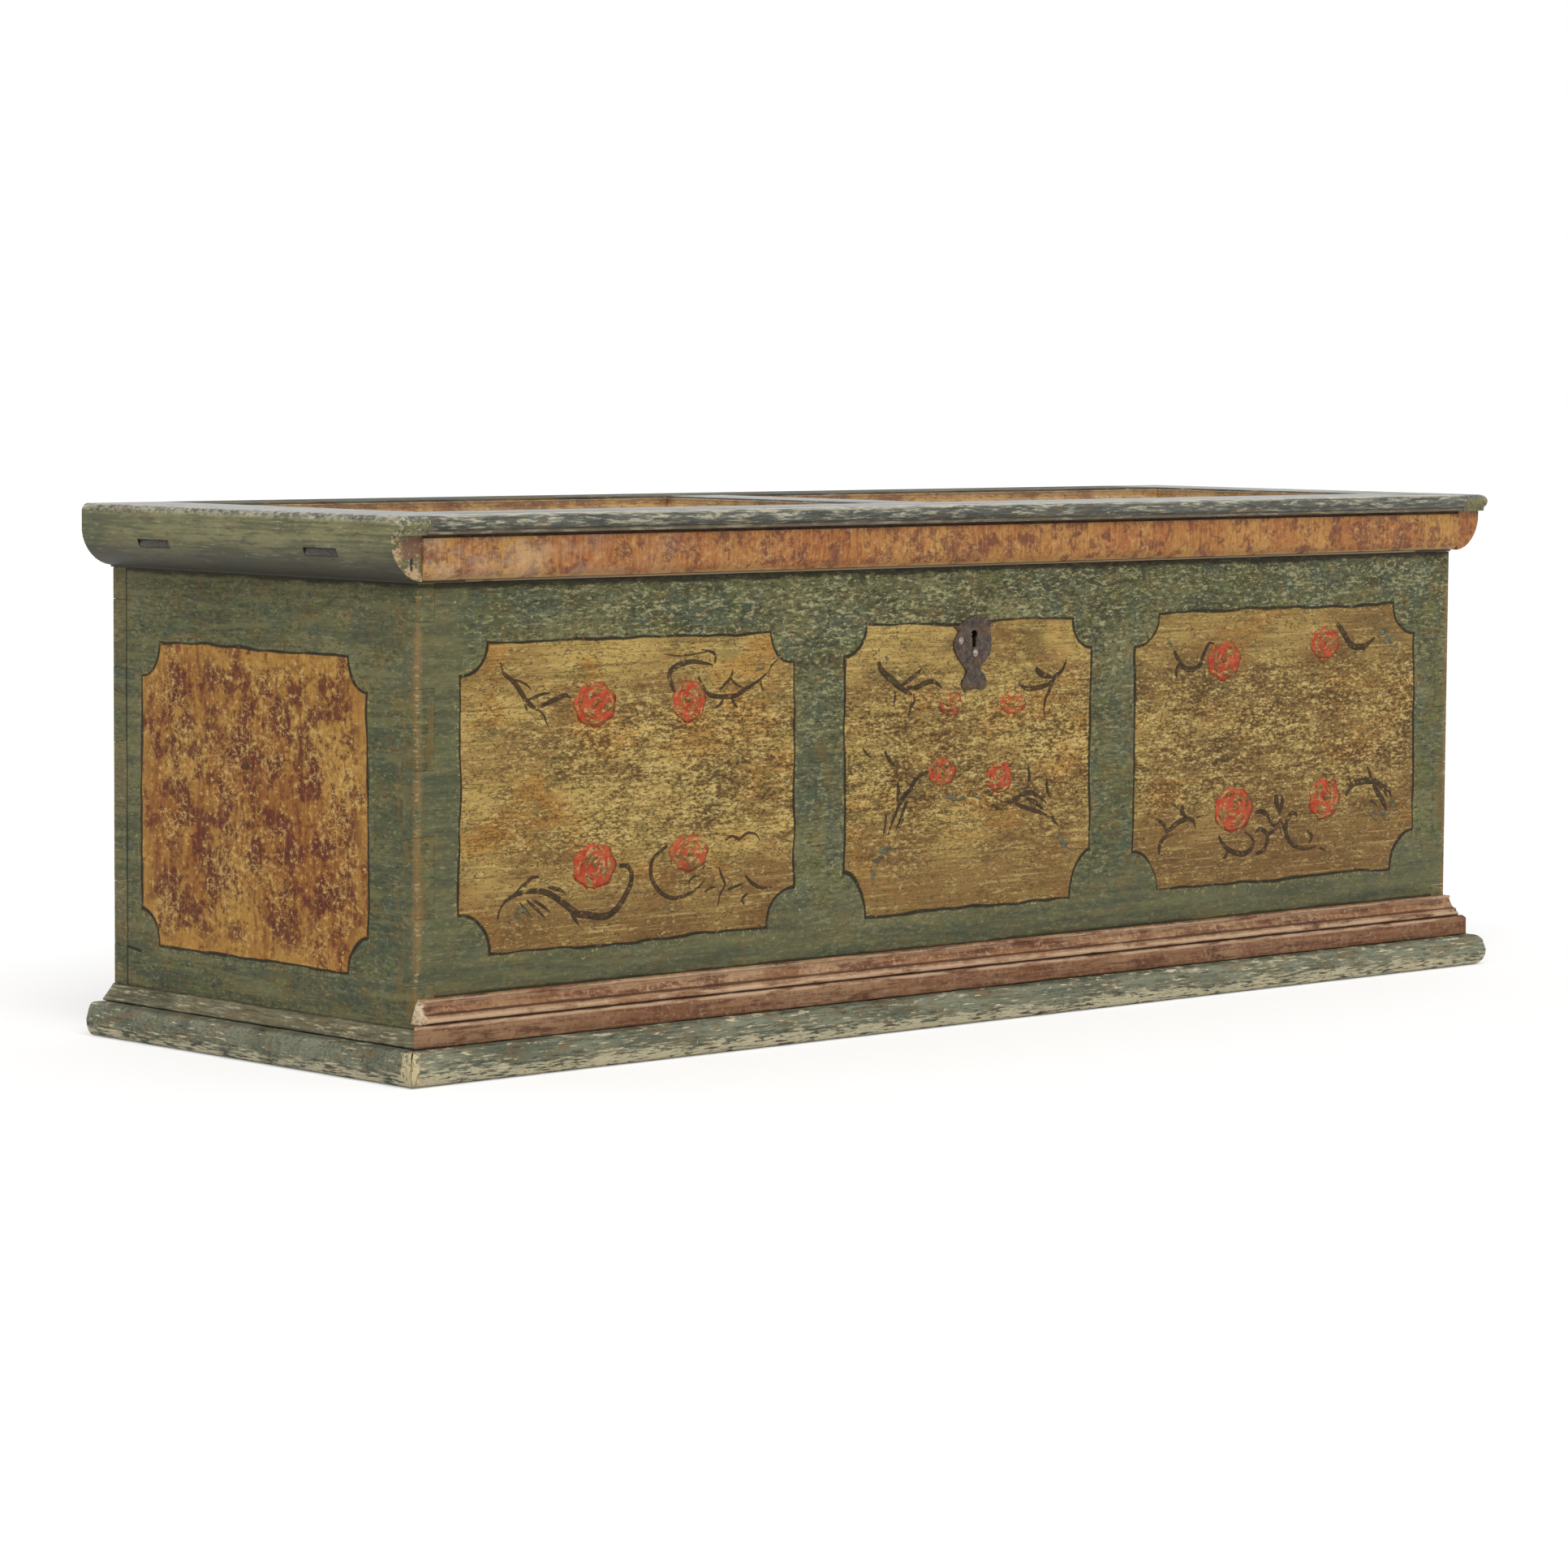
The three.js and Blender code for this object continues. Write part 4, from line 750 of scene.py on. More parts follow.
def bandPaint(place):
    x, _, z = place.parts()
    colour, height = marbledPaint(place, marbles["band"])
    rough = (place.clouds((30, 30, 6), 4, 15, 0.7) - 0.5) * 22
    bareEnd = (x + bodyEnd + 2 + rough).step(5, 0) * z.step(bandFoot - 1, bandFoot + 1)
    long = place.clouds((70, 70, 8), 4, 83, 0.65)
    foot = z.step(bandFoot - 0.6, bandFoot + 0.6)
    ridges = (
        z.step(bandFoot + 9, bandFoot + 5) * foot
        + z.step(bandFoot + 19, bandFoot + 22) * z.step(bandTop, bandTop - 2)
        + (1 - foot) * z.step(bandFoot - 6, bandFoot - 3)
    ) * long.step(0.4, 0.54)
    # the crevices at the band's foot and under its bead, darkened below
    joints = jointDirtAndShade(place, z, bandFoot, 2.0).most(jointDirtAndShade(place, z, bandFoot + 9.8, 1.5))
    grain = bareWood(place)[0]
    colour = layered(
        colour,
        ((1 - foot) * 0.35, marbles["band"]["dark"]),
        (ridges * 0.65, marbles["band"]["cream"]),
        # painted shade, with dirt, at the band's foot and under the bead on its profile
        (joints * 0.85, marbles["band"]["deep"]),
        # painted shade, with dirt, in the crevice where the fascia meets the base
        (jointDirtAndShade(place, z, baseTop, 2.5) * 0.8, marbles["band"]["deep"]),
        (bareEnd, height.step(0.42, 0.58).mix(grain, paint(224, 204, 172))),
    )
    return colour, height * 0.2 + 0.5, height - joints


# grime: dark for dirt and scuffs, and for painted shade in the crevices
plinthTones = tones(
    side=(118, 112, 86), sideDark=(84, 82, 60), base=(130, 132, 110), baseDark=(92, 97, 80),
    bare=(216, 205, 170), grime=(44, 40, 32), wood=(222, 204, 158), brown=(120, 98, 66),
)


def sideMouldPaint(place):
    _, _, z = place.parts()
    colour, height = lidPaint(place, plinthTones["side"], plinthTones["sideDark"], 1, 0.04)
    # dark lines where the moulding meets the base and along its profile: painted shade in these crevices,
    # with dirt
    joints = jointDirtAndShade(place, z, baseTop, 2.2).most(jointDirtAndShade(place, z, baseTop + 19, 1.6))
    return (joints * 0.8).mix(colour, plinthTones["grime"]), height * 0.2 + 0.5, height


# blue-green on the base, scuffed along its length to cream wood, most on its round and its lower edge
def basePaint(place):
    x, y, z = place.parts()
    flat, height = lidPaint(place, plinthTones["base"], plinthTones["baseDark"], 0, -0.05)
    scuffs = place.clouds((26, 26, 3), 5, 65, 0.72)
    calm = (place.clouds((90, 90, 40), 3, 5, 0.6) - 0.5) * 0.25
    low = z.step(26, 4) * 0.13 - 0.03
    bulge = y.step(frontFace + 4, frontFace - 4) * 0.035
    corner = (x + bodyEnd + 40).most(y - frontFace + 40).step(30, 4)
    torn = place.clouds((8, 8, 16), 4, 75, 0.7)
    chipped = (torn + corner * 0.3).step(0.68, 0.74)
    cracks = place.lines((12, 12, 26), 0.03, 35)
    colour = layered(
        flat,
        (place.clouds((40, 40, 12), 5, 95, 0.7).step(0.52, 0.62) * 0.5, plinthTones["brown"]),
        ((scuffs - low * 0.3).step(0.45, 0.35) * 0.75, plinthTones["grime"]),
        ((scuffs + low + bulge + calm).step(0.55, 0.63) * 0.9, plinthTones["bare"]),
        (chipped * 0.85, plinthTones["wood"]),
        (chipped * cracks * 0.6, plinthTones["brown"]),
        # darker along its lowest 4 mm
        (z.step(4, 1) * 0.6, plinthTones["grime"]),
        # painted shade, with dirt, in the crevice under the fascia
        (z.step(baseTop - 3, baseTop - 0.5) * 0.35, plinthTones["grime"]),
    )
    return colour, height * 0.2 + 0.5, height - scuffs.step(0.54, 0.62) * 0.6 - chipped * 0.6


def ironSkin(place):
    forged = place.clouds((10, 10, 10), 4, 3, 0.65)
    rust = place.clouds((16, 16, 16), 4, 13, 0.65)
    pits = place.clouds((3, 3, 3), 4, 23, 0.7)
    colour = layered(
        forged.step(0.38, 0.62).mix(paint(62, 53, 49), paint(98, 84, 73)),
        (rust.step(0.5, 0.62) * 0.6, paint(102, 74, 54)),
        (pits.step(0.56, 0.66) * 0.7, paint(38, 32, 28)),
        (pits.step(0.44, 0.34) * 0.4, paint(150, 136, 118)),
    )
    return colour, rust * 0.4 + 0.35, forged + pits


def wornIron(place):
    filed = place.clouds((30, 2, 2), 3, 3)
    rust = place.clouds((10, 10, 10), 4, 13)
    colour = layered(
        filed.step(0.36, 0.64).mix(paint(108, 104, 98), paint(136, 132, 124)),
        (rust.step(0.54, 0.66) * 0.7, paint(104, 72, 50)),
    )
    return colour, rust * 0.4 + 0.2, filed


# heads that hands and keys have rubbed pale, painted lighter too as their highlights
def rubbedAndHighlitIron(place):
    pits = place.clouds((3, 3, 3), 4, 23, 0.7)
    return pits.step(0.4, 0.56).mix(paint(112, 96, 84), paint(176, 160, 146)), pits * 0.3 + 0.3, pits


finishes = {
    "front": newMaterial("greenFrontWithFields", frontPaint),
    "ends": newMaterial("greenEndsWithMarbledField", endPaint),
    "back": newMaterial("bareBackWood", backPaint, 0.5),
    "stile": newMaterial("lidStilePaint", stilePaint, 0.3, gloss=0.5),
    "frame": newMaterial("lidFramePaint", framePaint, 0.3, gloss=0.5),
    "mullion": newMaterial("lidMullionPaint", lambda place: framePaint(place, 1), 0.3, gloss=0.5),
    "backRail": newMaterial("wornBackRailPaint", backRailPaint, 0.3),
    "nosing": newMaterial("nosingPaint", nosingPaint, 0.3, gloss=0.5),
    "lidPanel": newMaterial("lidPanelPaint", lidPanelPaint, 0.3, gloss=0.5),
    "bead": newMaterial("ochreBeadPaint", beadPaint, 0.2, gloss=0.5),
    "frontMould": newMaterial("marbledFrontMoulding", frontMouldPaint, 0.25, gloss=0.45),
    "band": newMaterial("marbledBand", bandPaint),
    "sideMould": newMaterial("sidePlinthPaint", sideMouldPaint),
    "base": newMaterial("scuffedBasePaint", basePaint, 0.6),
    "iron": newMaterial("wroughtIron", ironSkin, 0.25, metallic=0.6, gloss=0.5),
    "bright": newMaterial("filedIron", wornIron, 0.1, metallic=0.85, gloss=0.5),
    "rubbed": newMaterial("rubbedNailHeadsWithHighlights", rubbedAndHighlitIron, 0.1, metallic=0.3, gloss=0.5),
}

# Wooden pieces and the keyhole plate: each CAD solid copied, its edges eased and, where it has a cell
# size, its faces worn by so much; all in mm
beadSides = [(which, side) for which in ("left", "right") for side in ("front", "back", "left", "right")]
workedPieces = [
    {"finish": "front", "ease": 0.35, "nodes": ["front_board"]},
    {"finish": "ends", "ease": 0.35, "nodes": ["left_end_board", "right_end_board"]},
    {"finish": "back", "ease": 0.9, "nodes": ["back_board", "back_top_rail"]},
    {"finish": "back", "ease": 1.0, "nodes": ["bottom_board_1", "bottom_board_2", "bottom_board_3"]},
    {"finish": "stile", "ease": 1.0, "nodes": ["left_lid_stile", "right_lid_stile"]},
    {"finish": "frame", "ease": 0.8, "nodes": ["lid_front_rail"]},
    {"finish": "mullion", "ease": 0.8, "nodes": ["lid_mullion"]},
    {"finish": "backRail", "ease": 0.8, "nodes": ["lid_back_rail"]},
    {"finish": "lidPanel", "ease": 0.6, "nodes": ["lid_left_panel", "lid_right_panel"]},
    {"finish": "nosing", "ease": 0.8, "cell": 9, "wear": 0.5, "nodes": ["lid_nosing"]},
    {"finish": "frontMould", "ease": 0.7, "cell": 9, "wear": 0.35, "nodes": ["lid_front_moulding"]},
    {
        "finish": "band", "ease": 0.7, "cell": 9, "wear": 0.45,
        "nodes": ["front_plinth_fascia", "front_plinth_band"],
    },
    {
        "finish": "sideMould", "ease": 0.9, "cell": 9, "wear": 0.5,
        "nodes": ["left_plinth_moulding", "right_plinth_moulding"],
    },
    {
        "finish": "base", "ease": 0.8, "cell": 7, "wear": 1.0,
        "nodes": ["front_base_moulding", "left_base_moulding", "right_base_moulding"],
    },
    {
        "finish": "bead", "ease": 0.3, "cell": 20, "wear": 0.15,
        "nodes": [f"{which}_panel_bead_{side}" for which, side in beadSides],
    },
    {"finish": "iron", "ease": 0.5, "nodes": ["escutcheon"]},
]
easing = {"sharp": 30, "flat": 0.6, "merged": 0.002, "shortest": 12, "segments": 2, "roundness": 0.6}
wearing = {
    "hollowSize": 38, "hollow": 0.5, "dentSize": 11, "dentShift": (7, 3, 5), "dentFrom": 0.12,
    "dentDepth": 1.6, "onEdges": 2.4, "elsewhere": 0.5,
}
slots = {row["node"]: row["material_slot"] for row in frame["record"]["subparts"]}
members = frame["record"]["behaviour"]["bodies"]
bodies = {node: body for body, nodesOfBody in members.items() for node in nodesOfBody}


def showPiece(name, mesh, body, material):
    piece = bpy.data.objects.new(name, mesh)
    scene.collection.objects.link(piece)
    mesh.materials.clear()
    mesh.materials.append(material)
    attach(piece, body)
    return piece


def mergedCopy(source):
    made = bmesh.new()
    corners = [made.verts.new(vertex.co) for vertex in source.vertices]
    for face in source.polygons:
        made.faces.new([corners[i] for i in face.vertices])
    bmesh.ops.remove_doubles(made, verts=made.verts, dist=easing["merged"] * mm)
    flat = math.radians(easing["flat"])
    bmesh.ops.dissolve_limit(made, angle_limit=flat, verts=made.verts, edges=made.edges)
    return made


def isSharp(edge):
    return len(edge.link_faces) == 2 and edge.calc_face_angle() > math.radians(easing["sharp"])


# rings of cuts along the length, and rows along the tall faces, so that wear has points to move
def cutUp(made, cell):
    longest = max(edge.calc_length() for edge in made.edges)
    along = [edge for edge in made.edges if edge.calc_length() > 0.8 * longest]
    bmesh.ops.subdivide_edges(made, edges=along, cuts=int(longest / cell), use_grid_fill=True)
    tall = [edge for edge in made.edges if edge.calc_length() > 1.6 * cell]
    bmesh.ops.subdivide_edges(made, edges=tall, cuts=1, use_grid_fill=True)


# pushes points inwards: a slow hollow everywhere, and dents, deepest along the edges that stand out
def wearDown(made, depth, s):
    made.normal_update()
    moves = []
    for vertex in made.verts:
        place = vertex.co / mm
        exposed = any(edge.is_convex and isSharp(edge) for edge in vertex.link_edges)
        hollow = 0.5 + 0.5 * noise.noise(place / s["hollowSize"])
        dent = noise.noise(place / s["dentSize"] + Vector(s["dentShift"]))
        dent = max(0, dent - s["dentFrom"]) * s["dentDepth"]
        share = s["onEdges"] if exposed else s["elsewhere"]
        moves.append((s["hollow"] * hollow + share * dent) * depth * mm)
    for vertex, move in zip(made.verts, moves):
        vertex.co -= vertex.normal * move


def worked(node, s):
    made = mergedCopy(nodes[node].data)
    shortest = easing["shortest"] * s["ease"] * mm
    eased = [edge for edge in made.edges if isSharp(edge) and edge.calc_length() > shortest]
    bmesh.ops.bevel(
        made, geom=eased, offset=s["ease"] * mm, offset_type="OFFSET", segments=easing["segments"],
        profile=easing["roundness"], affect="EDGES", clamp_overlap=True,
    )
    if "cell" in s:
        cutUp(made, s["cell"] * mm)
        wearDown(made, s["wear"], wearing)
    made.normal_update()
    for edge in made.edges:
        edge.smooth = not isSharp(edge)
    for face in made.faces:
        face.smooth = True
    mesh = bpy.data.meshes.new(node)
    made.to_mesh(mesh)
    made.free()
    piece = showPiece(f"{node}.finished", mesh, bodies[node], finishes[s["finish"]])
    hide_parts(node)


print("wooden pieces and keyhole plate")
for group in workedPieces:
    for node in group["nodes"]:
        worked(node, group)

print("iron")
irons = {"wrought_iron": "iron", "bright_iron": "bright"}
for node, slot in slots.items():
    if slot in irons and not nodes[node].hide_render:
        iron = "rubbed" if node.startswith("escutcheon_nail") else irons[slot]
        nodes[node].data.materials.clear()
        nodes[node].data.materials.append(finishes[iron])


# The strokes were taken from the photograph, in pixels of its square frame: (width, points from
# the start to the tip). This camera, all but the scene's own, sets them on the board. The middle and
# right fields lie past one column, and there the brush is fuller.
tracing = {
    "side": 1932, "place": (-4290.43, -4487.32, 766.64), "yaw": 43.2212, "pitch": 4.6666, "roll": 0.3734,
    "lens": 118.2598, "halfWidth": 0.585, "fuller": 1.25, "fullerPast": 1040, "span": 5,
}
vineStrokes = [
    # left field, top left
    (4.6, [(620, 830), (633, 841), (642, 853), (649, 864), (658, 872), (663, 876)]),
    (4.0, [(662, 873), (676, 866), (689, 859), (698, 857), (704, 861)]),
    (2.6, [(649, 864), (660, 859), (671, 855), (678, 854)]),
    (2.0, [(631, 837), (642, 840), (650, 846), (655, 851)]),
    (2.4, [(644, 860), (649, 874), (650, 879)]),
    (2.0, [(662, 875), (670, 882), (673, 890), (676, 897)]),
    (1.4, [(616, 815), (618, 822), (620, 830)]),
    # left field, top right
    (4.8, [
        (831, 853), (826, 840), (825, 830), (830, 823), (840, 818), (853, 816), (867, 817), (878, 820),
    ]),
    (2.8, [(881, 818), (882, 811), (880, 806), (873, 802), (864, 801)]),
    (1.6, [(871, 804), (852, 807), (836, 809), (818, 806)]),
    (3.8, [
        (860, 834), (866, 846), (872, 854), (881, 859), (893, 859), (907, 857), (918, 850), (929, 843),
        (940, 834), (947, 828),
    ]),
    (1.8, [(947, 828), (951, 820), (958, 813)]),
    (2.8, [(886, 850), (893, 843), (900, 835), (903, 828), (902, 824)]),
    (2.4, [(900, 835), (906, 843), (916, 848)]),
    (3.0, [(891, 860), (888, 868), (880, 873)]),
    (3.0, [(902, 859), (904, 867), (909, 872)]),
    (1.6, [(937, 836), (938, 846), (941, 853)]),
    (1.4, [(948, 828), (946, 839)]),
    # left field, bottom left
    (5.6, [
        (763, 1067), (773, 1067), (778, 1076), (777, 1089), (771, 1102), (762, 1118), (751, 1127),
        (738, 1130), (724, 1128), (712, 1126), (703, 1121), (693, 1112), (682, 1104), (671, 1100),
        (658, 1098), (644, 1100), (631, 1105), (622, 1112), (616, 1122), (613, 1133),
    ]),
    (3.0, [(664, 1081), (655, 1082), (649, 1088), (642, 1093), (635, 1100)]),
    (3.2, [(675, 1094), (687, 1096), (696, 1101)]),
    (3.4, [(702, 1120), (707, 1131), (713, 1141)]),
    (2.8, [(649, 1110), (660, 1120), (671, 1131)]),
    (2.8, [(656, 1109), (667, 1116), (678, 1125)]),
    (2.0, [(640, 1112), (648, 1122), (656, 1131)]),
    # left field, bottom right
    (3.8, [
        (822, 1042), (811, 1051), (803, 1062), (802, 1078), (807, 1091), (816, 1102), (829, 1107),
        (844, 1104), (858, 1096), (868, 1085),
    ]),
    (2.6, [(886, 1069), (889, 1080), (893, 1091), (887, 1102), (884, 1118)]),
    (2.2, [(892, 1098), (906, 1093), (917, 1088)]),
    (3.2, [(918, 1080), (927, 1089), (938, 1094), (951, 1093)]),
    (2.6, [(921, 1101), (914, 1108), (917, 1116)]),
    (2.4, [(893, 1036), (902, 1030), (911, 1034), (920, 1027), (931, 1028), (936, 1037)]),
    (2.0, [(846, 1090), (853, 1082), (862, 1079)]),
    (1.8, [(868, 1099), (876, 1094), (884, 1094)]),
    # middle field, top left
    (4.6, [(1083, 816), (1085, 824), (1092, 832), (1100, 839), (1108, 846), (1116, 852), (1124, 856)]),
    (3.2, [(1110, 845), (1120, 838), (1129, 831), (1136, 823)]),
    (3.6, [(1117, 848), (1130, 847), (1138, 843), (1148, 840), (1155, 843), (1160, 848)]),
    (2.4, [(1125, 855), (1127, 864), (1122, 872), (1119, 885)]),
    (1.6, [(1102, 850), (1102, 862), (1101, 871)]),
    (1.3, [(1117, 889), (1114, 903)]),
    # middle field, top right
    (2.8, [
        (1314, 814), (1308, 826), (1300, 834), (1296, 843), (1292, 852), (1288, 862), (1286, 874),
        (1287, 883),
    ]),
    (4.2, [(1276, 823), (1280, 829), (1288, 833), (1299, 835)]),
    (3.2, [(1297, 839), (1288, 845), (1278, 848), (1268, 849), (1260, 847), (1255, 842)]),
    # middle field, bottom left
    (3.4, [
        (1143, 951), (1134, 955), (1127, 962), (1122, 972), (1114, 981), (1109, 990), (1104, 1002),
        (1098, 1016), (1094, 1029),
    ]),
    (3.0, [(1106, 965), (1107, 976), (1105, 988)]),
    (2.6, [(1118, 986), (1114, 996), (1110, 1008), (1104, 1023)]),
    (2.4, [(1092, 1005), (1090, 1018), (1088, 1031)]),
    (2.0, [(1113, 1009), (1108, 1021)]),
    (2.0, [(1083, 989), (1083, 1001)]),
    (2.8, [(1090, 926), (1096, 936), (1103, 945)]),
    (1.8, [(1063, 922), (1068, 930), (1077, 937)]),
    (1.6, [(1119, 975), (1128, 972)]),
    # middle field, bottom right
    (3.6, [(1240, 989), (1250, 986), (1260, 980), (1270, 977), (1280, 982), (1289, 990)]),
    (3.2, [(1250, 990), (1260, 994), (1270, 998), (1282, 1002), (1294, 1007)]),
    (3.0, [(1264, 984), (1275, 989), (1286, 998)]),
    (2.4, [(1267, 945), (1268, 957), (1265, 970)]),
    (2.6, [(1290, 961), (1290, 974), (1295, 984)]),
    (2.6, [(1295, 1002), (1298, 1011), (1304, 1018)]),
    (2.0, [(1222, 991), (1230, 996), (1240, 997)]),
    # right field, top left
    (3.6, [
        (1446, 802), (1450, 810), (1455, 819), (1462, 824), (1470, 825), (1478, 820), (1482, 810),
        (1486, 800), (1490, 793), (1496, 793),
    ]),
    (2.6, [(1454, 816), (1450, 824), (1449, 832), (1452, 839)]),
    (1.8, [(1484, 827), (1485, 839)]),
    # right field, top right
    (4.2, [
        (1647, 768), (1652, 775), (1658, 786), (1664, 794), (1672, 798), (1682, 796), (1688, 791),
        (1694, 786),
    ]),
    (2.4, [(1675, 799), (1683, 802)]),
    # right field, bottom left
    (3.0, [(1428, 1054), (1429, 1042), (1435, 1032), (1444, 1029)]),
    (3.4, [(1436, 1026), (1444, 1020), (1452, 1013), (1462, 1010), (1470, 1012), (1473, 1021)]),
    (2.6, [(1425, 1010), (1433, 1016), (1437, 1025)]),
    (4.0, [(1458, 993), (1456, 1001), (1462, 1007)]),
    (2.6, [(1446, 992), (1452, 997)]),
    (2.0, [(1474, 1008), (1483, 1005)]),
    # right field, bottom middle
    (3.4, [
        (1502, 1030), (1505, 1038), (1512, 1046), (1522, 1051), (1532, 1052), (1541, 1047),
        (1544, 1038), (1540, 1030), (1533, 1026),
    ]),
    (2.6, [(1512, 1046), (1511, 1054), (1506, 1059)]),
    (3.2, [(1547, 1052), (1556, 1048), (1561, 1038), (1560, 1027), (1552, 1022), (1546, 1027)]),
    (3.2, [(1546, 1002), (1554, 1000), (1562, 1005), (1565, 1015)]),
    (4.4, [(1572, 979), (1573, 990), (1577, 1004)]),
    (3.4, [(1580, 981), (1579, 992), (1577, 1004)]),
    (2.2, [(1576, 1017), (1578, 1028)]),
    (2.4, [(1560, 1028), (1567, 1026), (1573, 1020), (1577, 1009)]),
    (2.4, [(1585, 1029), (1582, 1021), (1579, 1014), (1577, 1009)]),
    (2.4, [(1565, 1015), (1570, 1018), (1575, 1014)]),
    (3.4, [
        (1599, 1005), (1592, 1002), (1587, 1008), (1584, 1018), (1585, 1030), (1592, 1040),
        (1602, 1045), (1612, 1046), (1622, 1042),
    ]),
    (3.0, [(1611, 1024), (1616, 1030), (1613, 1039)]),
    (3.0, [(1625, 1045), (1633, 1048)]),
    # right field, bottom right
    (4.2, [(1658, 981), (1664, 970), (1672, 964), (1684, 962), (1696, 964), (1704, 972), (1709, 983)]),
    (2.6, [(1685, 945), (1688, 954), (1690, 963)]),
    (2.2, [(1662, 957), (1665, 967)]),
    (4.4, [(1692, 967), (1698, 978), (1704, 988), (1708, 999)]),
    (2.8, [(1688, 986), (1697, 993)]),
    (3.0, [(1698, 966), (1709, 972), (1714, 982)]),
]
leafStrokes = [
    (4.0, [(637, 1119), (645, 1122), (652, 1130)]),
    (4.0, [(631, 1124), (637, 1130), (640, 1139)]),
    (3.0, [(958, 812), (966, 806)]),
    (5.0, [(1100, 1044), (1090, 1048), (1080, 1060), (1075, 1075), (1075, 1094)]),
    (5.0, [(1302, 1029), (1311, 1040), (1314, 1056)]),
    (4.0, [(1166, 980), (1176, 984), (1189, 984)]),
    (4.0, [(1198, 980), (1210, 986)]),
    (4.0, [(1440, 791), (1446, 801)]),
    (5.0, [(1698, 786), (1702, 779), (1712, 777)]),
    (5.0, [(1702, 790), (1714, 788), (1722, 783)]),
    (4.0, [(1712, 798), (1722, 795)]),
    (5.0, [(1686, 998), (1694, 1006), (1700, 1016)]),
    (5.0, [(1700, 1000), (1708, 1008), (1709, 1018)]),
    (4.0, [(1712, 985), (1718, 994), (1718, 1004)]),
]
# (middle, half width, half height, how faded), in mm on the board
roses = [
    ((-600, 394), 31, 25, 0.0), ((-461, 392), 25, 24, 0.1), ((-600, 217), 32, 26, 0.0),
    ((-461, 223), 30, 21, 0.45), ((-50, 373), 19, 15, 0.7), ((53, 370), 22, 14, 0.7),
    ((-64, 294), 23, 17, 0.4), ((32, 283), 23, 19, 0.25), ((423, 407), 31, 25, 0.15),
    ((611, 422), 28, 20, 0.2), ((444, 222), 36, 28, 0.05), ((614, 227), 30, 27, 0.15),
]
# (middle, half size)
tealFlowers = [((-356, 430), 9), ((-185, 415), 9), ((-157, 428), 5), ((342, 428), 8)]

brush = {
    "sides": 8, "step": 2.2, "flatness": 0.06, "start": 0.5, "tip": 0.3, "load": 1.4,
    "swell": 0.85, "swellFrom": 0.14, "fullness": 0.6,
}
# The roses: a bed that domes up through its levels (share of its reach, height in thicknesses, out of
# the board below 0), with rings of petals over it
rose = {
    "lobes": 7, "lobeDepth": 0.06, "rim": 36, "ragged": 0.02, "seed": 5, "thickness": 0.14, "rimFade": 0.45,
    "levels": [(1.0, 0.06), (0.8, -0.6), (0.4, -0.95)],
    "petalPoints": 9, "petalSides": 6, "petalTip": 0.15, "petalDepth": 12, "eachTurned": 0.9,
    "wobble": 15.0, "wobbleScale": 0.02, "seedStep": 3.7,
    "lights": [
        {"Ring": 0.3, "Petals": 2, "Length": 0.7, "Brush": 0.08, "Turn": 0.3},
        {"Ring": 0.56, "Petals": 3, "Length": 0.6, "Brush": 0.09, "Turn": 1.1},
        {"Ring": 0.84, "Petals": 4, "Length": 0.5, "Brush": 0.08, "Turn": 0.2},
    ],
    "shades": [
        {"Ring": 0.06, "Petals": 1, "Length": 0.9, "Brush": 0.14, "Turn": 0.0},
        {"Ring": 0.44, "Petals": 3, "Length": 0.6, "Brush": 0.07, "Turn": 0.8},
        {"Ring": 0.7, "Petals": 4, "Length": 0.55, "Brush": 0.08, "Turn": 0.6},
    ],
}
smallFlower = {"lobes": 5, "lobeDepth": 0.25, "high": 0.9, "faded": 0.5}


# where a point of the photograph lies on the chest's front, in mm
def onFront(across, down, s):
    yaw, pitch, roll = (math.radians(s[name]) for name in ("yaw", "pitch", "roll"))
    aside, below = ((pixel / s["side"] - 0.5) * filmSide / s["lens"] for pixel in (across, down))
    level = math.cos(roll) * aside + math.sin(roll) * below
    upright = math.sin(roll) * aside - math.cos(roll) * below
    ahead = math.cos(pitch) + math.sin(pitch) * upright
    x, y, z = s["place"]
    reach = (frontFace - y) / (math.cos(yaw) * ahead - math.sin(yaw) * level)
    x += reach * (math.sin(yaw) * ahead + math.cos(yaw) * level)
    z += reach * (math.cos(pitch) * upright - math.sin(pitch))
    return round(x, 1), round(z, 1)


# half of a stroke's width and its points, on the board in mm
def strokeOnFront(width, pixels, s):
    across, down = pixels[len(pixels) // 2]
    high, low = (onFront(across, down + step, s)[1] for step in (-s["span"], s["span"]))
    scale = abs(high - low) / (2 * s["span"])
    half = round(width * s["halfWidth"] * scale * (s["fuller"] if across > s["fullerPast"] else 1.0), 1)
    return half, [tuple(round(value) for value in onFront(*pixel, s)) for pixel in pixels]


# A paint laid over the ochre with a brush that runs dry; what has faded lets more of the ground through
def brushed(light, dark, dry):
    def describe(place):
        ochre, height = ochreGround(place)
        faded = place.node("ShaderNodeAttribute", {"attribute_name": "faded"}, {}, "Fac")
        tone = place.clouds((15, 15, 11), 4, 7, 0.65).step(0.4, 0.6).mix(light, dark)
        bristles = place.clouds((6, 6, 4), 3, 71, 0.72) - faded * 0.13
        return (bristles.step(dry, dry + 0.16) * 0.92).mix(ochre, tone), height * 0.1 + 0.6, height
    return describe


def newTree(name, inputs):
    tree = bpy.data.node_groups.new(name, "GeometryNodeTree")
    for label, kind in inputs.items():
        tree.interface.new_socket(label, in_out="INPUT", socket_type=f"NodeSocket{kind}")
    tree.interface.new_socket("Painted", in_out="OUTPUT", socket_type="NodeSocketGeometry")
    given = Signal(tree).node("NodeGroupInput").socket.node
    return tree, {label: Signal(tree, given.outputs[label]) for label in inputs}


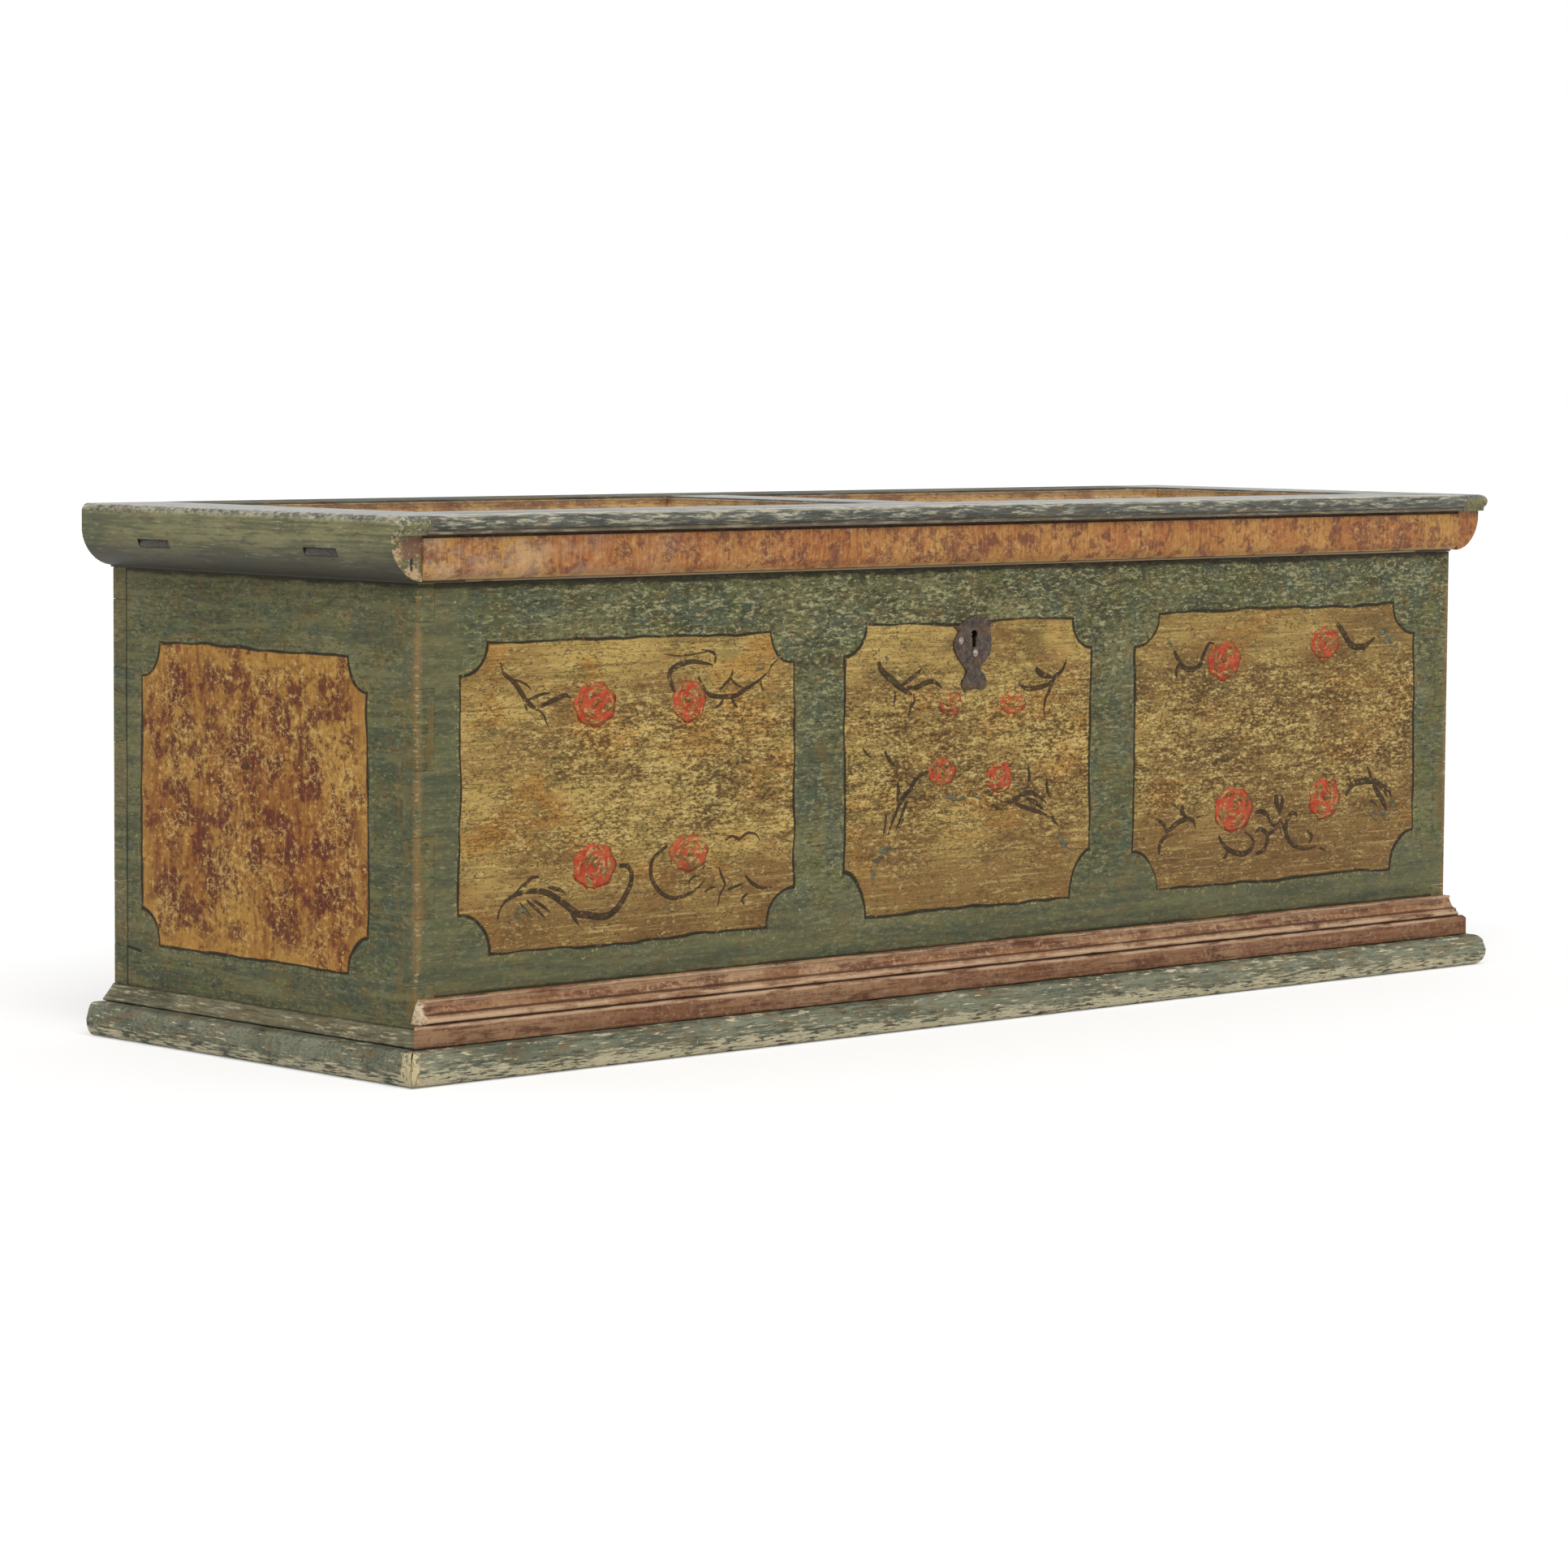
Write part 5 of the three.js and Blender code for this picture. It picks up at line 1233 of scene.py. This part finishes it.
# presses round strokes flat against the board, makes them real and gives them their paint
def pressFlat(shape, given):
    place = shape.node("GeometryNodeInputPosition").parts()
    pressed = (place[1] - given["Board Face"]) * given["Flatness"] + given["Board Face"]
    position = shape.node("ShaderNodeCombineXYZ", {}, {0: place[0], 1: pressed, 2: place[2]})
    shape = shape.node("GeometryNodeSetPosition", {}, {"Geometry": shape, "Position": position})
    shape = shape.node("GeometryNodeSetShadeSmooth", {}, {0: shape})
    shape = shape.node("GeometryNodeRealizeInstances", {}, {0: shape})
    shape = shape.node("GeometryNodeSetMaterial", {}, {"Geometry": shape, "Material": given["Paint"]})
    shape.node("NodeGroupOutput", {}, {0: shape})


common = {"Board Face": "Float", "Flatness": "Float", "Paint": "Material"}


def brushTree():
    inputs = {"Strokes": "Geometry", "Bristle Sides": "Int", "Step": "Float", **common}
    tree, given = newTree("brushStrokes", inputs)
    start = given["Strokes"]
    line = start.node("GeometryNodeMeshToCurve", {}, {"Mesh": start})
    line = start.node("GeometryNodeCurveSplineType", {"spline_type": "CATMULL_ROM"}, {"Curve": line})
    inputs = {"Curve": line, "Length": given["Step"]}
    line = start.node("GeometryNodeResampleCurve", {"mode": "LENGTH"}, inputs)
    inputs = {"Resolution": given["Bristle Sides"], "Radius": 1.0}
    tuft = start.node("GeometryNodeCurvePrimitiveCircle", {}, inputs)
    width = start.node("GeometryNodeInputNamedAttribute", {"data_type": "FLOAT"}, {"Name": "brush"})
    inputs = {"Curve": line, "Profile Curve": tuft, "Scale": width, "Fill Caps": True}
    pressFlat(start.node("GeometryNodeCurveToMesh", {}, inputs), given)
    return tree


petalSizes = {"Ring": "Float", "Petals": "Int", "Length": "Float", "Brush": "Float", "Turn": "Float"}


def petalTree(s):
    inputs = {"Roses": "Geometry", **petalSizes, "Wobble": "Float", "Seed": "Float", **common}
    tree, given = newTree("petalRings", inputs)
    start = given["Roses"]
    pitch = math.tau * given["Petals"].math("POWER", -1.0)
    inputs = {
        "Resolution": s["petalPoints"], "Radius": given["Ring"], "Start Angle": 0.0,
        "Sweep Angle": pitch * given["Length"],
    }
    arc = start.node("GeometryNodeCurveArc", {}, inputs)
    arc = start.node("GeometryNodeTransform", {}, {"Geometry": arc, "Rotation": (math.pi / 2, 0, 0)})
    along = start.node("GeometryNodeSplineParameter", {}, {}, "Factor")
    width = (along * math.pi).math("SINE") * given["Brush"] + given["Brush"] * s["petalTip"]
    inputs = {"Resolution": s["petalSides"], "Radius": 1.0}
    tuft = start.node("GeometryNodeCurvePrimitiveCircle", {}, inputs)
    inputs = {"Curve": arc, "Profile Curve": tuft, "Scale": width, "Fill Caps": True}
    petal = start.node("GeometryNodeCurveToMesh", {}, inputs)
    spots = start.node("GeometryNodePoints", {}, {"Count": given["Petals"]})
    angle = start.node("GeometryNodeInputIndex") * pitch + given["Turn"]
    turned = start.node("ShaderNodeCombineXYZ", {}, {1: angle})
    inputs = {"Points": spots, "Instance": petal, "Rotation": turned}
    ring = start.node("GeometryNodeInstanceOnPoints", {}, inputs)
    ring = start.node("GeometryNodeRealizeInstances", {}, {0: ring})
    vectors = {"data_type": "FLOAT_VECTOR"}
    spread = start.node("GeometryNodeInputNamedAttribute", vectors, {"Name": "spread"})
    angle = start.node("GeometryNodeInputIndex") * s["eachTurned"]
    turn = start.node("ShaderNodeCombineXYZ", {}, {1: angle})
    inputs = {"Points": start, "Instance": ring, "Rotation": turn, "Scale": spread}
    placed = start.node("GeometryNodeInstanceOnPoints", {}, inputs)
    placed = start.node("GeometryNodeRealizeInstances", {}, {0: placed})
    place = start.node("GeometryNodeInputPosition").stretched((s["wobbleScale"],) * 3, 0)
    inputs = {"Vector": place, "W": given["Seed"], "Scale": 1.0}
    shake = start.node("ShaderNodeTexNoise", {"noise_dimensions": "4D"}, inputs, "Color").parts()
    moves = [(part - 0.5) * given["Wobble"] for part in shake]
    offset = start.node("ShaderNodeCombineXYZ", {}, {0: moves[0], 2: moves[2]})
    pressFlat(start.node("GeometryNodeSetPosition", {}, {"Geometry": placed, "Offset": offset}), given)
    return tree


# grows a tree's mesh on a plain one and keeps only the result
def grown(source, tree, values):
    holder = bpy.data.objects.new(source.name, source)
    scene.collection.objects.link(holder)
    modifier = holder.modifiers.new(tree.name, "NODES")
    modifier.node_group = tree
    for item in tree.interface.items_tree:
        if item.in_out == "INPUT" and item.name in values:
            modifier[item.identifier] = values[item.name]
    mesh = bpy.data.meshes.new_from_object(holder.evaluated_get(bpy.context.evaluated_depsgraph_get()))
    bpy.data.objects.remove(holder)
    return mesh


onBoard = {"Board Face": frontFace * mm, "Flatness": brush["flatness"]}


# a stroke swells from its start and thins towards its tip
def paintStrokes(name, strokes, material, tree, s):
    points = []
    edges = []
    widths = []
    for width, pixels in strokes:
        half, path = strokeOnFront(width, pixels, tracing)
        for i, (x, z) in enumerate(path):
            share = i / (len(path) - 1)
            swell = math.sin(math.pi * min(share * s["swell"] + s["swellFrom"], 1)) ** s["fullness"]
            least = s["start"] * (1 - share) + s["tip"] * share
            if i:
                edges.append((len(points) - 1, len(points)))
            points.append((x * mm, frontFace * mm, z * mm))
            widths.append(max(swell, least) * half * s["load"] * mm)
    source = bpy.data.meshes.new(name)
    source.from_pydata(points, edges, [])
    source.attributes.new("brush", "FLOAT", "POINT").data.foreach_set("value", widths)
    values = {"Bristle Sides": s["sides"], "Step": s["step"] * mm, "Paint": material, **onBoard}
    showPiece(name, grown(source, tree, values), "chest", material)


def paintPetals(name, rings, material, tree, s):
    joined = bmesh.new()
    spread = [size * mm for _, wide, high, _ in roses for size in (wide, s["petalDepth"], high)]
    fades = [fade for _, _, _, fade in roses]
    for number, ring in enumerate(rings):
        source = bpy.data.meshes.new(name)
        source.from_pydata([(x * mm, frontFace * mm, z * mm) for (x, z), _, _, _ in roses], [], [])
        source.attributes.new("spread", "FLOAT_VECTOR", "POINT").data.foreach_set("vector", spread)
        source.attributes.new("faded", "FLOAT", "POINT").data.foreach_set("value", fades)
        values = {
            **ring, "Wobble": s["wobble"] * mm, "Seed": s["seed"] + number * s["seedStep"],
            "Paint": material, **onBoard, "Flatness": 1.0,
        }
        joined.from_mesh(grown(source, tree, values))
    mesh = bpy.data.meshes.new(name)
    joined.to_mesh(mesh)
    joined.free()
    showPiece(name, mesh, "chest", material)


# the patches under the petals and the small flowers: low domes with lobed rims
def paintBeds(name, beds, material, s):
    draw = random.Random(s["seed"])
    points = []
    faces = []
    faded = []
    count = s["rim"]
    levels = s["levels"]
    for (x, z), wide, high, fade in beds:
        first = len(points)
        start = draw.uniform(0, math.tau)
        for share, lift in levels:
            for i in range(count):
                angle = math.tau * i / count
                lobed = 1 + s["lobeDepth"] * math.cos(s["lobes"] * angle + start)
                lobed += draw.uniform(-s["ragged"], s["ragged"])
                reach = share * (lobed if share == 1.0 else 1)
                y = frontFace + lift * s["thickness"]
                points.append((x + wide * reach * math.cos(angle), y, z + high * reach * math.sin(angle)))
        points.append((x, frontFace - s["thickness"], z))
        points.append((x, frontFace + levels[0][1] * s["thickness"], z))
        for near in range(first, first + (len(levels) - 1) * count, count):
            for i in range(count):
                after = (i + 1) % count
                faces.append((near + i, near + after, near + count + after, near + count + i))
        last = first + (len(levels) - 1) * count
        for i in range(count):
            faces.append((last + i, last + (i + 1) % count, len(points) - 2))
            faces.append((first + (i + 1) % count, first + i, len(points) - 1))
        faded += [fade + s["rimFade"]] * count + [fade] * (len(points) - first - count)
    mesh = bpy.data.meshes.new(name)
    mesh.from_pydata([(x * mm, y * mm, z * mm) for x, y, z in points], [], faces)
    mesh.attributes.new("faded", "FLOAT", "POINT").data.foreach_set("value", faded)
    mesh.shade_smooth()
    showPiece(name, mesh, "chest", material)


print("brushwork")
strokeTree = brushTree()
ringTree = petalTree(rose)
brushPaints = {
    "vine": newMaterial("brownBrushwork", brushed(paint(66, 47, 32), paint(44, 34, 24), 0.3)),
    "leaf": newMaterial("greyBlueBrushwork", brushed(paint(88, 104, 92), paint(70, 76, 62), 0.42)),
    "rose": newMaterial("roseRed", brushed(paint(200, 78, 50), paint(176, 54, 36), 0.32)),
    "light": newMaterial("roseLight", brushed(paint(220, 138, 98), paint(206, 104, 74), 0.47)),
    "shade": newMaterial("roseShade", brushed(paint(158, 48, 34), paint(130, 40, 30), 0.47)),
}
paintStrokes("vine_brushwork", vineStrokes, brushPaints["vine"], strokeTree, brush)
paintStrokes("leaf_brushwork", leafStrokes, brushPaints["leaf"], strokeTree, brush)
paintBeds("rose_beds", roses, brushPaints["rose"], rose)
flowers = [(middle, half, half * smallFlower["high"], smallFlower["faded"]) for middle, half in tealFlowers]
paintBeds("small_flowers", flowers, brushPaints["leaf"], {**rose, **smallFlower})
paintPetals("rose_shades", rose["shades"], brushPaints["shade"], ringTree, rose)
paintPetals("rose_lights", rose["lights"], brushPaints["light"], ringTree, rose)

scene.view_settings.view_transform = "Standard"
print("done")
